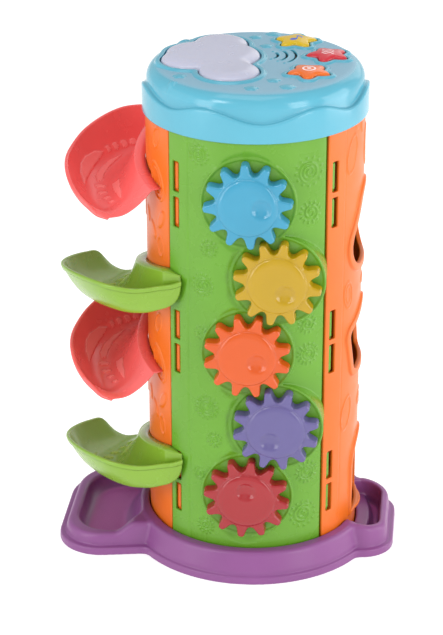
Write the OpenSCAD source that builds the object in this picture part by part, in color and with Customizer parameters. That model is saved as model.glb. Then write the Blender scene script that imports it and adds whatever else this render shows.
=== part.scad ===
// Ball drop tower: four hooked wall panels on a tray base, five meshing hand gears
// on the front, a zigzag of four scoop ramps on the left, drop holes and a doorway
// on the right, and a round lid with a lamp, a speaker and three star buttons.
// Frame: +Z up, tower axis on Z, the gear side faces -Y, floor at Z = 0. Millimetres.

/* [Tower] */
// Outer radius of the wall panels
tower_r = 97; // [96.8:0.1:97.1]
// Wall thickness of the panels
panel_t = 2.4; // [2:0.1:2.6]
// Height of the panels' top edge above the floor
panel_top = 430; // [428:1:430]

/* [Gears] */
// Radius of the gears at the tooth tips
gear_tip_r = 39; // [38:0.2:39.2]
// Radius of the gears between the teeth
gear_root_r = 28.5; // [27:0.5:29]
// Thickness of the gear teeth
gear_t = 11; // [9:0.5:12]
// Radius of the round disc on each gear's face
gear_disc_r = 26.2; // [24:0.2:27]
// Radius of the hub that turns in the panel
hub_r = 7; // [6:0.5:8]
// Radial running clearance of the hub
hub_clear = 0.05; // [0.03:0.01:0.08]

/* [Lid] */
// Outer radius of the lid's skirt
lid_r = 100; // [99.8:0.1:100.6]
// Height of the lid's flat top above the floor
lid_top = 460; // [459.5:0.5:460.5]
// Star button travel
star_travel = 2.5; // [1.5:0.5:2.5]

/* [Base] */
// Radius of the round foot flange
foot_r = 116.6; // [115:0.2:118]
// Height of the base's rim around the tower
base_h = 29; // [28:0.5:29]

/* [Ramps] */
// Shell thickness of the ramps
ramp_t = 2.6; // [2:0.1:3]
// Height of the upper red ramp's collar at its middle
ramp_top = 379.5; // [378:0.5:381]
// Drop from a red ramp's collar to the green one under it
ramp_drop = 107; // [106:0.5:108]
// Drop from one pair of ramps to the next
ramp_pitch = 176; // [175:0.5:177]

/* [Hidden] */
$fn = 64;

inner_r = tower_r - panel_t;
edge_a = 44.65;              // half angle of a panel
flange_a = 31.5;             // inner end of the slotted flange
pair_z = [362, 222, 82];     // middles of the slot pairs
pad_y = -93.5;               // plane of the gear pads
pad_r = 41;
pad_t = 3;
gear_x = [2.8, 28.8, 2.8, 28.8, 2.8];
gear_z = [for (i = [0:4]) 363.4 - 70.6*i];
// tooth phase of each gear, from the mesh with the one above it
mesh_a = atan2(70.6, 26);
phase = [4.5, 20.9, 13.7, 11.7, 22.9];
dimple_a = [0, -45, -22, -118, 90];
gear_back = pad_y - 0.6;
hub_end = -86.1;
slope = 0.255;               // fall of a ramp's collar per mm along the tower's side
tilt = atan(slope);
star_pos = [[31.3, 56.5], [62, 18.4], [48.7, -30]];
star_rot = [90, -100, -90];
boss_pos = [[62, -62], [-62, -62], [62, 62], [-66, 57]];
cloud_lobes = [[-35, 41, 25], [-31, 8, 35], [-19.5, -35.5, 26.8], [-54, 14, 27], [-56, -6, 27]];

blue = [0.36, 0.70, 0.82];
green = [0.47, 0.74, 0.25];
orange = [0.95, 0.50, 0.23];
purple = [0.60, 0.36, 0.62];
red = [0.90, 0.30, 0.31];
steel = [0.7, 0.7, 0.72];

// part of a round wall: radii, heights, and angles from the front towards +X
module sector(r0, r1, z0, z1, a0, a1)
    rotate([0, 0, a0 - 90]) rotate_extrude(angle = a1 - a0)
        translate([r0, z0]) square([r1 - r0, z1 - z0]);

// a cylinder along Y from y0 back to y1 (y1 > y0)
module ycyl(x, z, r, y0, y1)
    translate([x, y1, z]) rotate([90, 0, 0]) cylinder(r = r, h = y1 - y0);

// flat outline drawn in X and Z, standing from y0 to y1
module standing(y0, y1) translate([0, y1, 0]) rotate([90, 0, 0]) linear_extrude(y1 - y0) children();

// ---------- base ----------
module lobe_plan(x, y, r, grow) hull() {
    translate([x, y]) circle(r + grow, $fn = 48);
    translate([x, -y]) circle(r + grow, $fn = 48);
    translate([0, y*0.9]) circle(20, $fn = 24);
    translate([0, -y*0.9]) circle(20, $fn = 24);
}
module tray_plan(s, x0, x1, y0, y1, r) hull() {
    translate([s*x1, y1]) circle(r, $fn = 40);
    translate([s*x1, -y1]) circle(r, $fn = 40);
    translate([s*x0, y0]) circle(10, $fn = 24);
    translate([s*x0, -y0]) circle(10, $fn = 24);
}
module slope_cut(s, xa, za, xb, zb)
    // everything above the line from (xa, za) to (xb, zb), outward from the tower
    rotate([90, 0, 0]) translate([0, 0, -120]) linear_extrude(240)
        polygon([[s*xa, za], [s*xb, zb], [s*(xb + 60), zb], [s*(xb + 60), 60], [s*xa, 60]]);
module base() color(purple) difference() {
    union() {
        linear_extrude(7.5) {
            circle(foot_r, $fn = 128);
            lobe_plan(-139, 38, 40, 0);
            lobe_plan(104.5, 27, 30, 0);
        }
        rotate_extrude($fn = 128) polygon([[0, 0], [foot_r - 2, 0], [foot_r - 2.6, 9.5],
            [109.5, base_h - 4], [107, base_h - 0.8], [105, base_h], [0, base_h]]);
        difference() {
            linear_extrude(base_h - 0.5) lobe_plan(-139, 38, 40, -6);
            slope_cut(-1, 106, 28, 122, 18.3);
        }
        difference() {
            linear_extrude(base_h - 0.5) lobe_plan(104.5, 27, 30, -5);
            slope_cut(1, 105, 28.5, 128, 24);
        }
    }
    // socket for the panels
    difference() {
        translate([0, 0, 3]) cylinder(r = 98, h = 40, $fn = 128);
        for (a = [0:90:270]) rotate([0, 0, a]) translate([0, -86, 0]) cylinder(r = 7, h = 6);
    }
    // ball trays, stopped at the round wall
    difference() {
        union() {
            translate([0, 0, 3.5]) linear_extrude(40) tray_plan(-1, 112, 138, 34, 36, 22.5);
            translate([0, 0, 5]) linear_extrude(40) tray_plan(1, 100, 104, 22, 25, 15.5);
        }
        cylinder(r1 = 115, r2 = 105, h = base_h + 0.2, $fn = 128);
    }
    // low step in front of the doorway
    translate([0, 0, 14]) linear_extrude(40) tray_plan(1, 100, 104, 22, 25, 15.5);
    // hollow under the round wall
    difference() {
        rotate_extrude($fn = 128) polygon([[101, -1], [101, base_h - 3], [104.5, base_h - 3], [111, 8], [112.6, 3], [112.6, -1]]);
        translate([80, -50, 2.5]) cube([60, 100, 40]);
    }
    // screw seats
    for (a = [0:90:270]) rotate([0, 0, a]) translate([0, -86, 0]) {
        translate([0, 0, -1]) cylinder(r = 1.8, h = 12);
        translate([0, 0, -1]) cylinder(r = 3.8, h = 4);
    }
}
module base_screws() color(steel) for (a = [0:90:270]) rotate([0, 0, a]) translate([0, -86, 0]) difference() {
    union() {
        translate([0, 0, 0.8]) cylinder(r = 3.4, h = 2.1);
        translate([0, 0, 2]) cylinder(r = 1.5, h = 15);
    }
    translate([0, 0, 0]) cylinder(r = 1.6, h = 1.9, $fn = 6);
}

// ---------- chute under the drop holes ----------
function chute_z(x) = 47.6 - 0.158*x;
module ball_chute() color(orange) {
    intersection() {
        translate([0, 0, 10]) cylinder(r = 89.8, h = 80, $fn = 128);
        rotate([90, 0, 0]) translate([0, 0, -100]) linear_extrude(200)
            polygon([[-95, chute_z(-95)], [95, chute_z(95)], [95, chute_z(95) - 3], [-95, chute_z(-95) - 3]]);
    }
    for (y = [-38, 38]) translate([0, y + 1.5, 0]) rotate([90, 0, 0]) linear_extrude(3)
        polygon([[-62, 3.1], [62, 3.1], [62, chute_z(62) - 1.5], [-62, chute_z(-62) - 1.5]]);
}

// ---------- wall panels ----------
module panel_core() {
    difference() {
        union() {
            sector(inner_r, tower_r, 3.2, panel_top, -edge_a, edge_a);
            sector(inner_r + 1, tower_r + 0.6, 3.2, panel_top, -edge_a, -flange_a);
            // hook strip that lies behind the next panel's slotted flange
            sector(90.8, inner_r - 0.3, 6, 426, 41, 51.6);
            sector(inner_r - 1.2, inner_r + 1, 8, 424, 41.6, edge_a - 0.4);
            for (z = pair_z, s = [-16.5, 16.5])
                sector(inner_r - 0.6, inner_r + 1, z + s - 12, z + s + 12, 48.9, 51.2);
            // screw boss at the foot
            translate([0, -86, 6.2]) cylinder(r = 4.5, h = 14);
            translate([-1.5, -inner_r - 1, 6.2]) cube([3, 7, 14]);
        }
        for (z = pair_z, s = [-16.5, 16.5])
            sector(inner_r - 1, tower_r + 2, z + s - 14, z + s + 14, -41.7, -37.3);
        translate([0, -86, 5]) cylinder(r = 1.55, h = 13.5);
    }
}
module pads(r, y0, y1) for (i = [0:4]) ycyl(gear_x[i], gear_z[i], r, y0, y1);
module front_panel() color(green) difference() {
    union() {
        difference() {
            panel_core();
            // open the wall in front of and behind the gear pads
            pads(pad_r, -110, pad_y + 1);
            pads(pad_r - 2.6, pad_y + 1, -72.5);
        }
        difference() {
            pads(pad_r, pad_y, -70);
            pads(pad_r - 2.6, pad_y + pad_t, -40);
            cylinder(r = inner_r + 0.2, h = 500, $fn = 128);
        }
        pads(pad_r, pad_y, pad_y + pad_t);
        for (i = [0:4]) ycyl(gear_x[i], gear_z[i], 11, pad_y + 1, -86.5);
    }
    for (i = [0:4]) ycyl(gear_x[i], gear_z[i], hub_r + hub_clear, -100, -80);
}
module slot_for(zc, m) for (s = [-1, 1]) intersection() {
    sector(93, 99, zc - 60, zc + 60, s*16 - 8.6, s*16 + 8.6);
    rotate([0, 0, 90]) translate([0, 0, zc - 1]) rotate([-m*tilt, 0, 0])
        translate([-130, -120, -3.4]) cube([130, 240, 3.8]);
}
module left_panel() color(orange) rotate([0, 0, -90]) difference() {
    panel_core();
    for (k = [0, 1]) {
        slot_for(ramp_top - k*ramp_pitch, -1);
        slot_for(ramp_top - ramp_drop - k*ramp_pitch, 1);
    }
}
module tri(g) hull() {
    translate([0, 329]) circle(21 + g, $fn = 64);
    for (m = [-1, 1]) translate([m*17, 303]) circle(21 + g, $fn = 64);
}
module pent(g) hull() {
    translate([0, 230]) circle(7 + g, $fn = 48);
    for (m = [-1, 1]) {
        translate([m*31, 216]) circle(7 + g, $fn = 48);
        translate([m*24, 187]) circle(7 + g, $fn = 48);
    }
}
module arch(g) {
    translate([-27 - g, 33]) square([54 + 2*g, 45]);
    translate([0, 78]) circle(27 + g, $fn = 96);
}
module right_panel() color(orange) rotate([0, 0, 90]) difference() {
    union() {
        panel_core();
        // raised frames and the doorway's sill
        intersection() {
            sector(inner_r + 1.1, tower_r + 2.2, 29.4, 362, -32, 32);
            standing(-120, -40) { tri(7); pent(7); arch(4.5); }
        }
        intersection() {
            sector(inner_r + 0.9, 102.5, 29.4, 33, -20, 20);
            translate([0, -61, 29]) cylinder(r = 40.6, h = 5, $fn = 96);
        }
    }
    standing(-120, -40) { tri(0); pent(0); arch(0); }
}
module back_panel() color(green) rotate([0, 0, 180]) panel_core();

// ---------- ramps ----------
// rim of a scoop, from its high end at the tower to the tip of its exit:
// X, Y, and height above the middle of the collar
rim_green = [[-57, -83, 15], [-68, -82.5, 8.5], [-84, -81.5, 3], [-100, -80, 0.5],
    [-118, -78, 2], [-134, -70, 3], [-150, -54, 1], [-163, -34, -3], [-172, -12, -8],
    [-174, 8, -12], [-169, 28, -16], [-160, 46, -20], [-152, 58, -24], [-144, 64, -35.5],
    [-135, 69, -46.5], [-125, 73, -48]];
rim_red = [[-57, -83, 20], [-68, -82.5, 13.5], [-84, -81.5, 9.5], [-99, -80, 7.5],
    [-114.5, -78, 8], [-129, -70, 7.5], [-144, -54, 4], [-157, -34, -2], [-164.5, -12, -9],
    [-166, 8, -12.5], [-163, 28, -16], [-156.5, 46, -22], [-148, 58, -28.5], [-139, 64, -35],
    [-130.5, 69, -41], [-121, 73, -43]];
n_rim = len(rim_green) - 1;
function spline(a, b, c, d, t) = 0.5*(2*b + (c - a)*t + (2*a - 5*b + 4*c - d)*t*t + (3*b - a - 3*c + d)*t*t*t);
function rim_at(rim, t) = let (i = min(floor(t), n_rim - 1))
    spline(rim[max(i - 1, 0)], rim[i], rim[i + 1], rim[min(i + 2, n_rim)], t - i);
function ease(k) = let (c = max(0, min(1, k))) c*c*(3 - 2*c);
// one point of the scoop: t along the rim, u from the tower (-1) over the collar's edge (0)
// to the rim (1), e = offset of the outer skin
function scoop(rim, t, u, e) = let (
    o3 = rim_at(rim, t), a = -54 + 92*t/n_rim,
    ri = max(98.1, min(107, norm([o3.x, o3.y]) - 1.5) - e),
    pi = [-ri*cos(a), ri*sin(a)], d = [o3.x, o3.y] - pi,
    po = [o3.x, o3.y] + d/norm(d)*e, w = norm(po - pi),
    zi = -slope*pi.y - 1 - (u <= 0 ? e : 0),
    p = u < 0 ? [-98*cos(a), 98*sin(a)] : pi + (po - pi)*u,
    zf = -38 - 0.13*p.y + 4*ease((-10 - p.y)/60) - e, s = max(0, u)*w,
    q = max(0, (t - 9)/6), k = ease(t/6),
    ga = pow(max(0, 1 - s/min(8 + 22*k + 18*q, w*(0.5 + 0.6*ease((t - 8)/6)))), 2.4 - 0.5*q),
    gb = pow(max(0, 1 - (w - s)/min(8 + 24*k, 0.5*w)), 2.4),
    zt = zi + (o3.z - zi)*max(0, u),
    // the bowl rounds up to nothing at its high end, and a little at the red one's lip
    tip = rim == rim_red ? 0.45 : 0,
    deep = sqrt(1 - pow(1 - min(1, t/4.4), 2))*(1 - tip*ease((t - 12)/3)))
    [p.x, p.y, u <= 0 ? zi : zt + ((zf - zt)*deep - e*(1 - deep))*(1 - ga)*(1 - gb)];
module scoop_shell(rim) {
    nt = 30; us = [-1, 0, 0.1, 0.2, 0.32, 0.46, 0.6, 0.72, 0.82, 0.9, 0.96, 1]; nu = len(us); m = (nt + 1)*nu;
    pts = concat([for (i = [0:nt], u = us) scoop(rim, i*n_rim/nt, u, 0)],
                 [for (i = [0:nt], u = us) scoop(rim, i*n_rim/nt, u, ramp_t)]);
    function v(i, j) = i*nu + j;
    top = [for (i = [0:nt - 1], j = [0:nu - 2]) each [[v(i, j), v(i, j + 1), v(i + 1, j)], [v(i, j + 1), v(i + 1, j + 1), v(i + 1, j)]]];
    bot = [for (f = top) [m + f[0], m + f[2], m + f[1]]];
    function wall(a, b) = [[a, b, m + b], [a, m + b, m + a]];
    sides = [for (i = [0:nt - 1]) each concat(wall(v(i + 1, 0), v(i, 0)), wall(v(i, nu - 1), v(i + 1, nu - 1)))];
    ends = [for (j = [0:nu - 2]) each concat(wall(v(0, j), v(0, j + 1)), wall(v(nt, j + 1), v(nt, j)))];
    polyhedron(pts, concat(top, bot, sides, ends), convexity = 8);
}
module ramp(zc, m) translate([0, 0, zc]) mirror([0, m < 0 ? 1 : 0, 0]) {
    scoop_shell(m < 0 ? rim_red : rim_green);
    // tongues that pass through the slots of the panel
    for (s = [-1, 1]) intersection() {
        sector(91.5, 98.8, -60, 60, -90 + s*16 - 8, -90 + s*16 + 8);
        translate([0, 0, -1]) rotate([-tilt, 0, 0]) translate([-130, -120, -3]) cube([130, 240, 3]);
    }
}
module ramp_red_upper() color(red) ramp(ramp_top, -1);
module ramp_green_upper() color(green) ramp(ramp_top - ramp_drop, 1);
module ramp_red_lower() color(red) ramp(ramp_top - ramp_pitch, -1);
module ramp_green_lower() color(green) ramp(ramp_top - ramp_drop - ramp_pitch, 1);

// ---------- lid ----------
function star_r(a) = 15.6 + 3.5*cos(5*a) + 0.2*cos(10*a);
module star2d(i, g) translate(star_pos[i]) rotate(star_rot[i])
    polygon([for (a = [0:6:354]) (star_r(a) + g)*[cos(a), sin(a)]]);
module cloud2d(g) for (c = cloud_lobes) translate([c[0], c[1]]) circle(c[2] + g, $fn = 64);
module lid_cover() color(blue) difference() {
    union() {
        rotate_extrude($fn = 128) polygon(concat(
            [[0, lid_top - 2.4], [0, lid_top]],
            [for (a = [90:-15:0]) [82.5 + 13*cos(a), lid_top - 13 + 13*sin(a)]],
            [[96, 442.5], [lid_r, 440.5], [lid_r, 418.8], [lid_r - 2, 418.8], [lid_r - 2, 436], [93.1, 438.5]],
            [for (a = [0:15:90]) [82.5 + 10.6*cos(a), lid_top - 13 + 10.6*sin(a)]]));
        translate([0, 0, lid_top - 2]) linear_extrude(3.6) for (i = [0:2]) star2d(i, 4.2);
        translate([0, 0, lid_top - 2]) linear_extrude(3.8) cloud2d(4);
        for (p = boss_pos) translate([p.x, p.y, 433.4]) cylinder(r = 4.5, h = 20);
    }
    translate([0, 0, 440]) linear_extrude(40) for (i = [0:2]) star2d(i, 0.5);
    translate([0, 0, 440]) linear_extrude(40) cloud2d(0.3);
    for (p = boss_pos) translate([p.x, p.y, 433]) cylinder(r = 1.55, h = 14);
    // sound slots
    for (r = [14, 22, 30]) translate([4, 17, 0]) sector(r - 1, r + 1, 450, 470, 55, 125);
    // slot for the power switch
    translate([-8.5, 87.5, 443]) cube([17, 20, 6]);
}
module lid_floor() color(blue) difference() {
    union() {
        translate([0, 0, panel_top + 0.2]) cylinder(r = lid_r - 2.5, h = 3, $fn = 128);
        for (p = [[40, 42], [57, 5], [47, -22], [-32, 10]]) translate([p.x, p.y, 432]) cylinder(r = 3, h = 6.4);
        translate([0, -45, 432]) cylinder(r = 3.2, h = 9);
    }
    translate([-25, -81, 425]) cube([50, 30, 15]);
    for (p = boss_pos) translate([p.x, p.y, 425]) cylinder(r = 1.8, h = 15);
    translate([0, -45, 425]) cylinder(r = 1.3, h = 14);
}
module lid_screws() color(steel) for (p = boss_pos) translate([p.x, p.y, 0]) difference() {
    union() {
        translate([0, 0, panel_top - 1.95]) cylinder(r = 3.4, h = 2.1);
        translate([0, 0, panel_top]) cylinder(r = 1.5, h = 15);
    }
    translate([0, 0, panel_top - 3]) cylinder(r = 1.6, h = 2, $fn = 6);
}
module cloud_lens() color([0.83, 0.82, 0.88, 0.9]) difference() {
    for (c = cloud_lobes) translate([c[0], c[1], 0]) rotate_extrude($fn = 64)
        polygon(concat([[0, 454.6], [c[2] + 2, 454.6], [c[2] + 2, 456.5], [c[2], 456.5]],
            [for (a = [0:15:90]) [c[2]*cos(a), 460 + 6.2*sin(a)]]));
    translate([0, 0, 450]) linear_extrude(8.6) cloud2d(-2.2);
}
module lamp() color([0.95, 0.95, 0.9]) translate([-32, 10, 438.5]) {
    cylinder(r = 9, h = 1.6);
    cylinder(r = 2.9, h = 3);
    cylinder(r = 2.5, h = 6);
    translate([0, 0, 6]) sphere(2.5);
}
module circuit_board() color([0.1, 0.4, 0.2]) translate([0, 0, 438.5]) linear_extrude(1.5)
    hull() for (p = star_pos) translate(p) circle(9, $fn = 32);
module speaker() color([0.2, 0.2, 0.22]) translate([22, 17, 0]) {
    translate([0, 0, 443.4]) cylinder(r = 9, h = 6);
    translate([0, 0, 448.4]) cylinder(r1 = 9.5, r2 = 15, h = 7);
    translate([0, 0, 455.3]) cylinder(r = 16, h = 2.1);
}
module battery_box() color([0.25, 0.25, 0.28]) difference() {
    translate([-28, -84, 433.3]) cube([56, 35.5, 13]);
    translate([-26.6, -82.6, 430]) cube([53.2, 32.7, 15]);
}
bat_y = [-77.1, -66.3, -55.5];
module batteries() color([0.3, 0.3, 0.3]) for (i = [0:2]) translate([0, bat_y[i], 439.6]) rotate([0, i == 1 ? -90 : 90, 0]) {
    translate([0, 0, -22]) cylinder(r = 5.2, h = 43.2);
    translate([0, 0, 21]) cylinder(r = 1.9, h = 1.2);
}
module battery_contacts() color(steel) for (i = [0:2], s = [-1, 1]) translate([s*24, bat_y[i], 439.6]) rotate([0, 90, 0]) {
    translate([0, 0, s > 0 ? 1.4 : -2.2]) cylinder(r = 4, h = 0.8, $fn = 24);
    translate([0, 0, -1.5]) cylinder(r = 2.4, h = 3);
}
module battery_door() color(blue) difference() {
    translate([-27, -84, panel_top - 2]) cube([54, 43, 2.1]);
    translate([0, -45, panel_top - 5]) cylinder(r = 1.8, h = 10);
    for (y = [-76:5:-54]) translate([-20, y, panel_top - 3]) cube([40, 1.4, 1.6]);
}
module battery_door_screw() color(steel) translate([0, -45, 0]) difference() {
    union() {
        translate([0, 0, panel_top - 4.1]) cylinder(r = 3.2, h = 2);
        translate([0, 0, panel_top - 3]) cylinder(r = 1.25, h = 10);
    }
    translate([0, 0, panel_top - 5]) cylinder(r = 1.5, h = 2, $fn = 6);
}
module switch_housing() color([0.15, 0.15, 0.16]) difference() {
    translate([-9, 81, 433.3]) cube([18, 7, 17.5]);
    translate([-7.5, 86, 444]) cube([15, 3, 4]);
}
module switch_knob() color([0.95, 0.5, 0.2]) {
    translate([-7.6, 90.9, 443.4]) cube([8.2, 6.1, 5.2]);
    translate([-11, 88.5, 442]) cube([15, 2.6, 8]);
    translate([-5, 86.5, 444.4]) cube([3, 2.5, 3.2]);
}
module star(i) {
    translate([0, 0, 454.5]) linear_extrude(1.9) star2d(i, 2.2);
    intersection() {
        translate([0, 0, 456]) linear_extrude(10) star2d(i, 0);
        translate([star_pos[i].x, star_pos[i].y, 465.2 - 70]) sphere(70, $fn = 96);
    }
    translate([star_pos[i].x, star_pos[i].y, 446.3]) cylinder(r = 3.5, h = 9.5);
}
module dome(i) color([0.6, 0.6, 0.6]) translate([star_pos[i].x, star_pos[i].y, 440]) difference() {
    union() {
        cylinder(r = 6, h = 1.2);
        translate([0, 0, 1]) cylinder(r1 = 5.5, r2 = 3.6, h = 5.2);
    }
    translate([0, 0, -1]) cylinder(r = 2.2, h = 5);
}
module star_yellow() color([0.92, 0.80, 0.14]) star(0);
module star_red() color([0.87, 0.23, 0.28]) star(1);
module star_orange() color([0.96, 0.51, 0.20]) star(2);
module dome_yellow() dome(0);
module dome_red() dome(1);
module dome_orange() dome(2);

// ---------- gears ----------
// half width of a tooth against its radius, from root to tip
tooth = [[gear_root_r - 0.2, 6.4], [gear_root_r + 0.9, 5.4], [gear_root_r + 4.5, 4.5],
    [gear_tip_r - 2, 3.4], [gear_tip_r - 0.5, 2.5], [gear_tip_r, 1.2]];
module gear_plan(a) polygon([for (k = [0:11], p = concat(
    [for (q = tooth) [q[0], -q[1]]], [for (j = [len(tooth) - 1:-1:0]) [tooth[j][0], tooth[j][1]]]))
    let (t = a + 30*k) [p[0]*cos(t) - p[1]*sin(t), p[0]*sin(t) + p[1]*cos(t)]]);
module gear(i) translate([gear_x[i], 0, gear_z[i]]) difference() {
    union() {
        translate([0, gear_back, 0]) rotate([90, 0, 0]) linear_extrude(gear_t) gear_plan(phase[i]);
        translate([0, gear_back, 0]) rotate([90, 0, 0]) rotate_extrude($fn = 96) {
            square([gear_disc_r, gear_t + 0.5]);
            square([gear_disc_r - 2.5, gear_t + 3]);
            translate([gear_disc_r - 2.5, gear_t + 0.5]) circle(2.5, $fn = 48);
        }
        ycyl(0, 0, hub_r, gear_back - 1, hub_end);
    }
    // hollow behind the disc
    difference() {
        ycyl(0, 0, 24, gear_back - 8, gear_back + 1);
        ycyl(0, 0, 9.8, gear_back - 9, gear_back + 2);
    }
    // finger dimple
    translate([10*cos(dimple_a[i]), gear_back - gear_t - 3 - 8.1, 10*sin(dimple_a[i])]) sphere(12.1, $fn = 64);
    ycyl(0, 0, 1.6, -98.5, hub_end + 1);
}
module washer(i) color(steel) difference() {
    ycyl(gear_x[i], gear_z[i], 11, hub_end, hub_end + 1.5);
    ycyl(gear_x[i], gear_z[i], 1.7, hub_end - 1, hub_end + 3);
}
module gear_screw(i) color(steel) difference() {
    union() {
        ycyl(gear_x[i], gear_z[i], 3.4, hub_end + 1.5, hub_end + 3.7);
        ycyl(gear_x[i], gear_z[i], 1.55, -97.5, hub_end + 2);
    }
    translate([gear_x[i], hub_end + 4.5, gear_z[i]]) rotate([90, 0, 0]) cylinder(r = 1.6, h = 2, $fn = 6);
}
module gear_blue() color([0.35, 0.70, 0.85]) gear(0);
module gear_yellow() color([0.87, 0.73, 0.18]) gear(1);
module gear_orange() color([0.95, 0.45, 0.22]) gear(2);
module gear_purple() color([0.50, 0.47, 0.71]) gear(3);
module gear_red() color([0.80, 0.27, 0.31]) gear(4);
module washer_blue() washer(0);
module washer_yellow() washer(1);
module washer_orange() washer(2);
module washer_purple() washer(3);
module washer_red() washer(4);
module screw_blue() gear_screw(0);
module screw_yellow() gear_screw(1);
module screw_orange() gear_screw(2);
module screw_purple() gear_screw(3);
module screw_red() gear_screw(4);

base();
base_screws();
ball_chute();
front_panel();
left_panel();
right_panel();
back_panel();
ramp_red_upper();
ramp_green_upper();
ramp_red_lower();
ramp_green_lower();
lid_cover();
lid_floor();
lid_screws();
cloud_lens();
lamp();
circuit_board();
speaker();
battery_box();
batteries();
battery_contacts();
battery_door();
battery_door_screw();
switch_housing();
switch_knob();
star_yellow();
star_red();
star_orange();
dome_yellow();
dome_red();
dome_orange();
gear_blue();
gear_yellow();
gear_orange();
gear_purple();
gear_red();
washer_blue();
washer_yellow();
washer_orange();
washer_purple();
washer_red();
screw_blue();
screw_yellow();
screw_orange();
screw_purple();
screw_red();
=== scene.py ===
import math
import bpy
import numpy as np
from mathutils import Matrix, Vector


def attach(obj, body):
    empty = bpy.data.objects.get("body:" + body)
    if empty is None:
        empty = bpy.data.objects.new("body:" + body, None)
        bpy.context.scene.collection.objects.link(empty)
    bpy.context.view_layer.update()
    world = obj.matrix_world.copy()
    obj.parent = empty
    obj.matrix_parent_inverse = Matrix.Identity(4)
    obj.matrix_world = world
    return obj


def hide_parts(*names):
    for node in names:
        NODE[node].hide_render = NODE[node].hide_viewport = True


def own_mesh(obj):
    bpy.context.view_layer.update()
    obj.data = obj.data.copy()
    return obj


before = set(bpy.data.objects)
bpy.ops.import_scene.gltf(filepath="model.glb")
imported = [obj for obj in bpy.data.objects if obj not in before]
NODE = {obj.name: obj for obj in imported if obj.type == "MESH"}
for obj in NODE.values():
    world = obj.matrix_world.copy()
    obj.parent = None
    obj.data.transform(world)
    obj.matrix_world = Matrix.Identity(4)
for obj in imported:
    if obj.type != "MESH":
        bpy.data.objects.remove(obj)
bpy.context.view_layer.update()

Q = 1.0          # grid coarseness while trying things
F32 = np.float32
scene = bpy.context.scene

# ------------------------------------------------------------------ camera
cam_data = bpy.data.cameras.new("camera")
cam_data.sensor_fit = "AUTO"
cam_data.sensor_width = 36.0
cam_data.lens = 129.68
cam_data.clip_start, cam_data.clip_end = 0.05, 50.0
cam = bpy.data.objects.new("camera", cam_data)
scene.collection.objects.link(cam)
fwd = Vector((-0.0930366, 0.90589172, -0.41316387))
up = Vector((-0.0422106, 0.411002, 0.9106567))
right = fwd.cross(up)
cam.matrix_world = Matrix(((right.x, up.x, -fwd.x, 0.16543), (right.y, up.y, -fwd.y, -1.90235),
                           (right.z, up.z, -fwd.z, 1.08060), (0, 0, 0, 1)))
scene.camera = cam
scene.view_settings.view_transform = "Standard"
scene.view_settings.look = "None"


# ------------------------------------------------------------------ distance fields
def smin(a, b, k):
    h = np.clip(0.5 + 0.5*(b - a)/k, 0, 1)
    return b + (a - b)*h - k*h*(1 - h)


def rmax(a, b, r):
    """Both at once, with the convex edge rounded to r."""
    a, b = a + r, b + r
    return np.minimum(np.maximum(a, b), 0) + np.hypot(np.maximum(a, 0), np.maximum(b, 0)) - r


def rmin(a, b, r):
    """Either, with the inner corner filled to r."""
    return -rmax(-a, -b, r)


def sd_poly(x, y, pts):
    """Signed distance to a closed polygon, negative inside."""
    p = np.asarray(pts, float)
    d = np.full(np.broadcast(x, y).shape, 1e9)
    odd = np.zeros(d.shape, bool)
    for (ax, ay), (bx, by) in zip(p, np.roll(p, -1, axis=0)):
        ex, ey, wx, wy = bx - ax, by - ay, x - ax, y - ay
        t = np.clip((wx*ex + wy*ey)/(ex*ex + ey*ey), 0, 1)
        d = np.minimum(d, (wx - ex*t)**2 + (wy - ey*t)**2)
        if ay != by:
            odd ^= ((ay > y) != (by > y)) & (x < (bx - ax)*(y - ay)/(by - ay) + ax)
    d = np.sqrt(d)
    return np.where(odd, -d, d)


def hull_pts(circles, n=48):
    pts = sorted((cx + r*math.cos(2*math.pi*i/n), cy + r*math.sin(2*math.pi*i/n))
                 for cx, cy, r in circles for i in range(n))
    def half(seq):
        out = []
        for p in seq:
            while len(out) > 1 and ((out[-1][0] - out[-2][0])*(p[1] - out[-2][1])
                                    - (out[-1][1] - out[-2][1])*(p[0] - out[-2][0])) <= 1e-9:
                out.pop()
            out.append(p)
        return out[:-1]
    return half(pts) + half(pts[::-1])


def sd_line(x, y, pts, closed=False):
    """Distance to an open run of segments, and the place along it from 0 to 1."""
    p = np.asarray(pts, float)
    seg = np.linalg.norm(np.diff(p, axis=0), axis=1)
    run = np.concatenate([[0], np.cumsum(seg)])/seg.sum()
    best = np.full(np.broadcast(x, y).shape, 1e9)
    at = np.zeros(best.shape)
    for i in range(len(p) - 1):
        ex, ey = p[i + 1] - p[i]
        wx, wy = x - p[i, 0], y - p[i, 1]
        t = np.clip((wx*ex + wy*ey)/(ex*ex + ey*ey), 0, 1)
        d = np.hypot(wx - ex*t, wy - ey*t)
        near = d < best
        at = np.where(near, run[i] + (run[i + 1] - run[i])*t, at)
        best = np.where(near, d, best)
    return best, at


def bump(d, w):
    """Rounded bead over |d| < w, from 1 in the middle to 0 at the edge."""
    k = np.clip(1 - (d/w)**2, 0, 1)
    return np.sqrt(k)*0.6 + k*0.4


def plateau(d, soft):
    """1 inside (d < -soft), 0 outside, smooth between."""
    k = np.clip(-d/soft, 0, 1)
    return k*k*(3 - 2*k)


# ------------------------------------------------------------------ mesh from a field
CORNERS = [(i, j, k) for i in (0, 1) for j in (0, 1) for k in (0, 1)]
EDGES = [(a, b) for a in range(8) for b in range(a + 1, 8)
         if sum(abs(p - q) for p, q in zip(CORNERS[a], CORNERS[b])) == 1]


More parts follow.
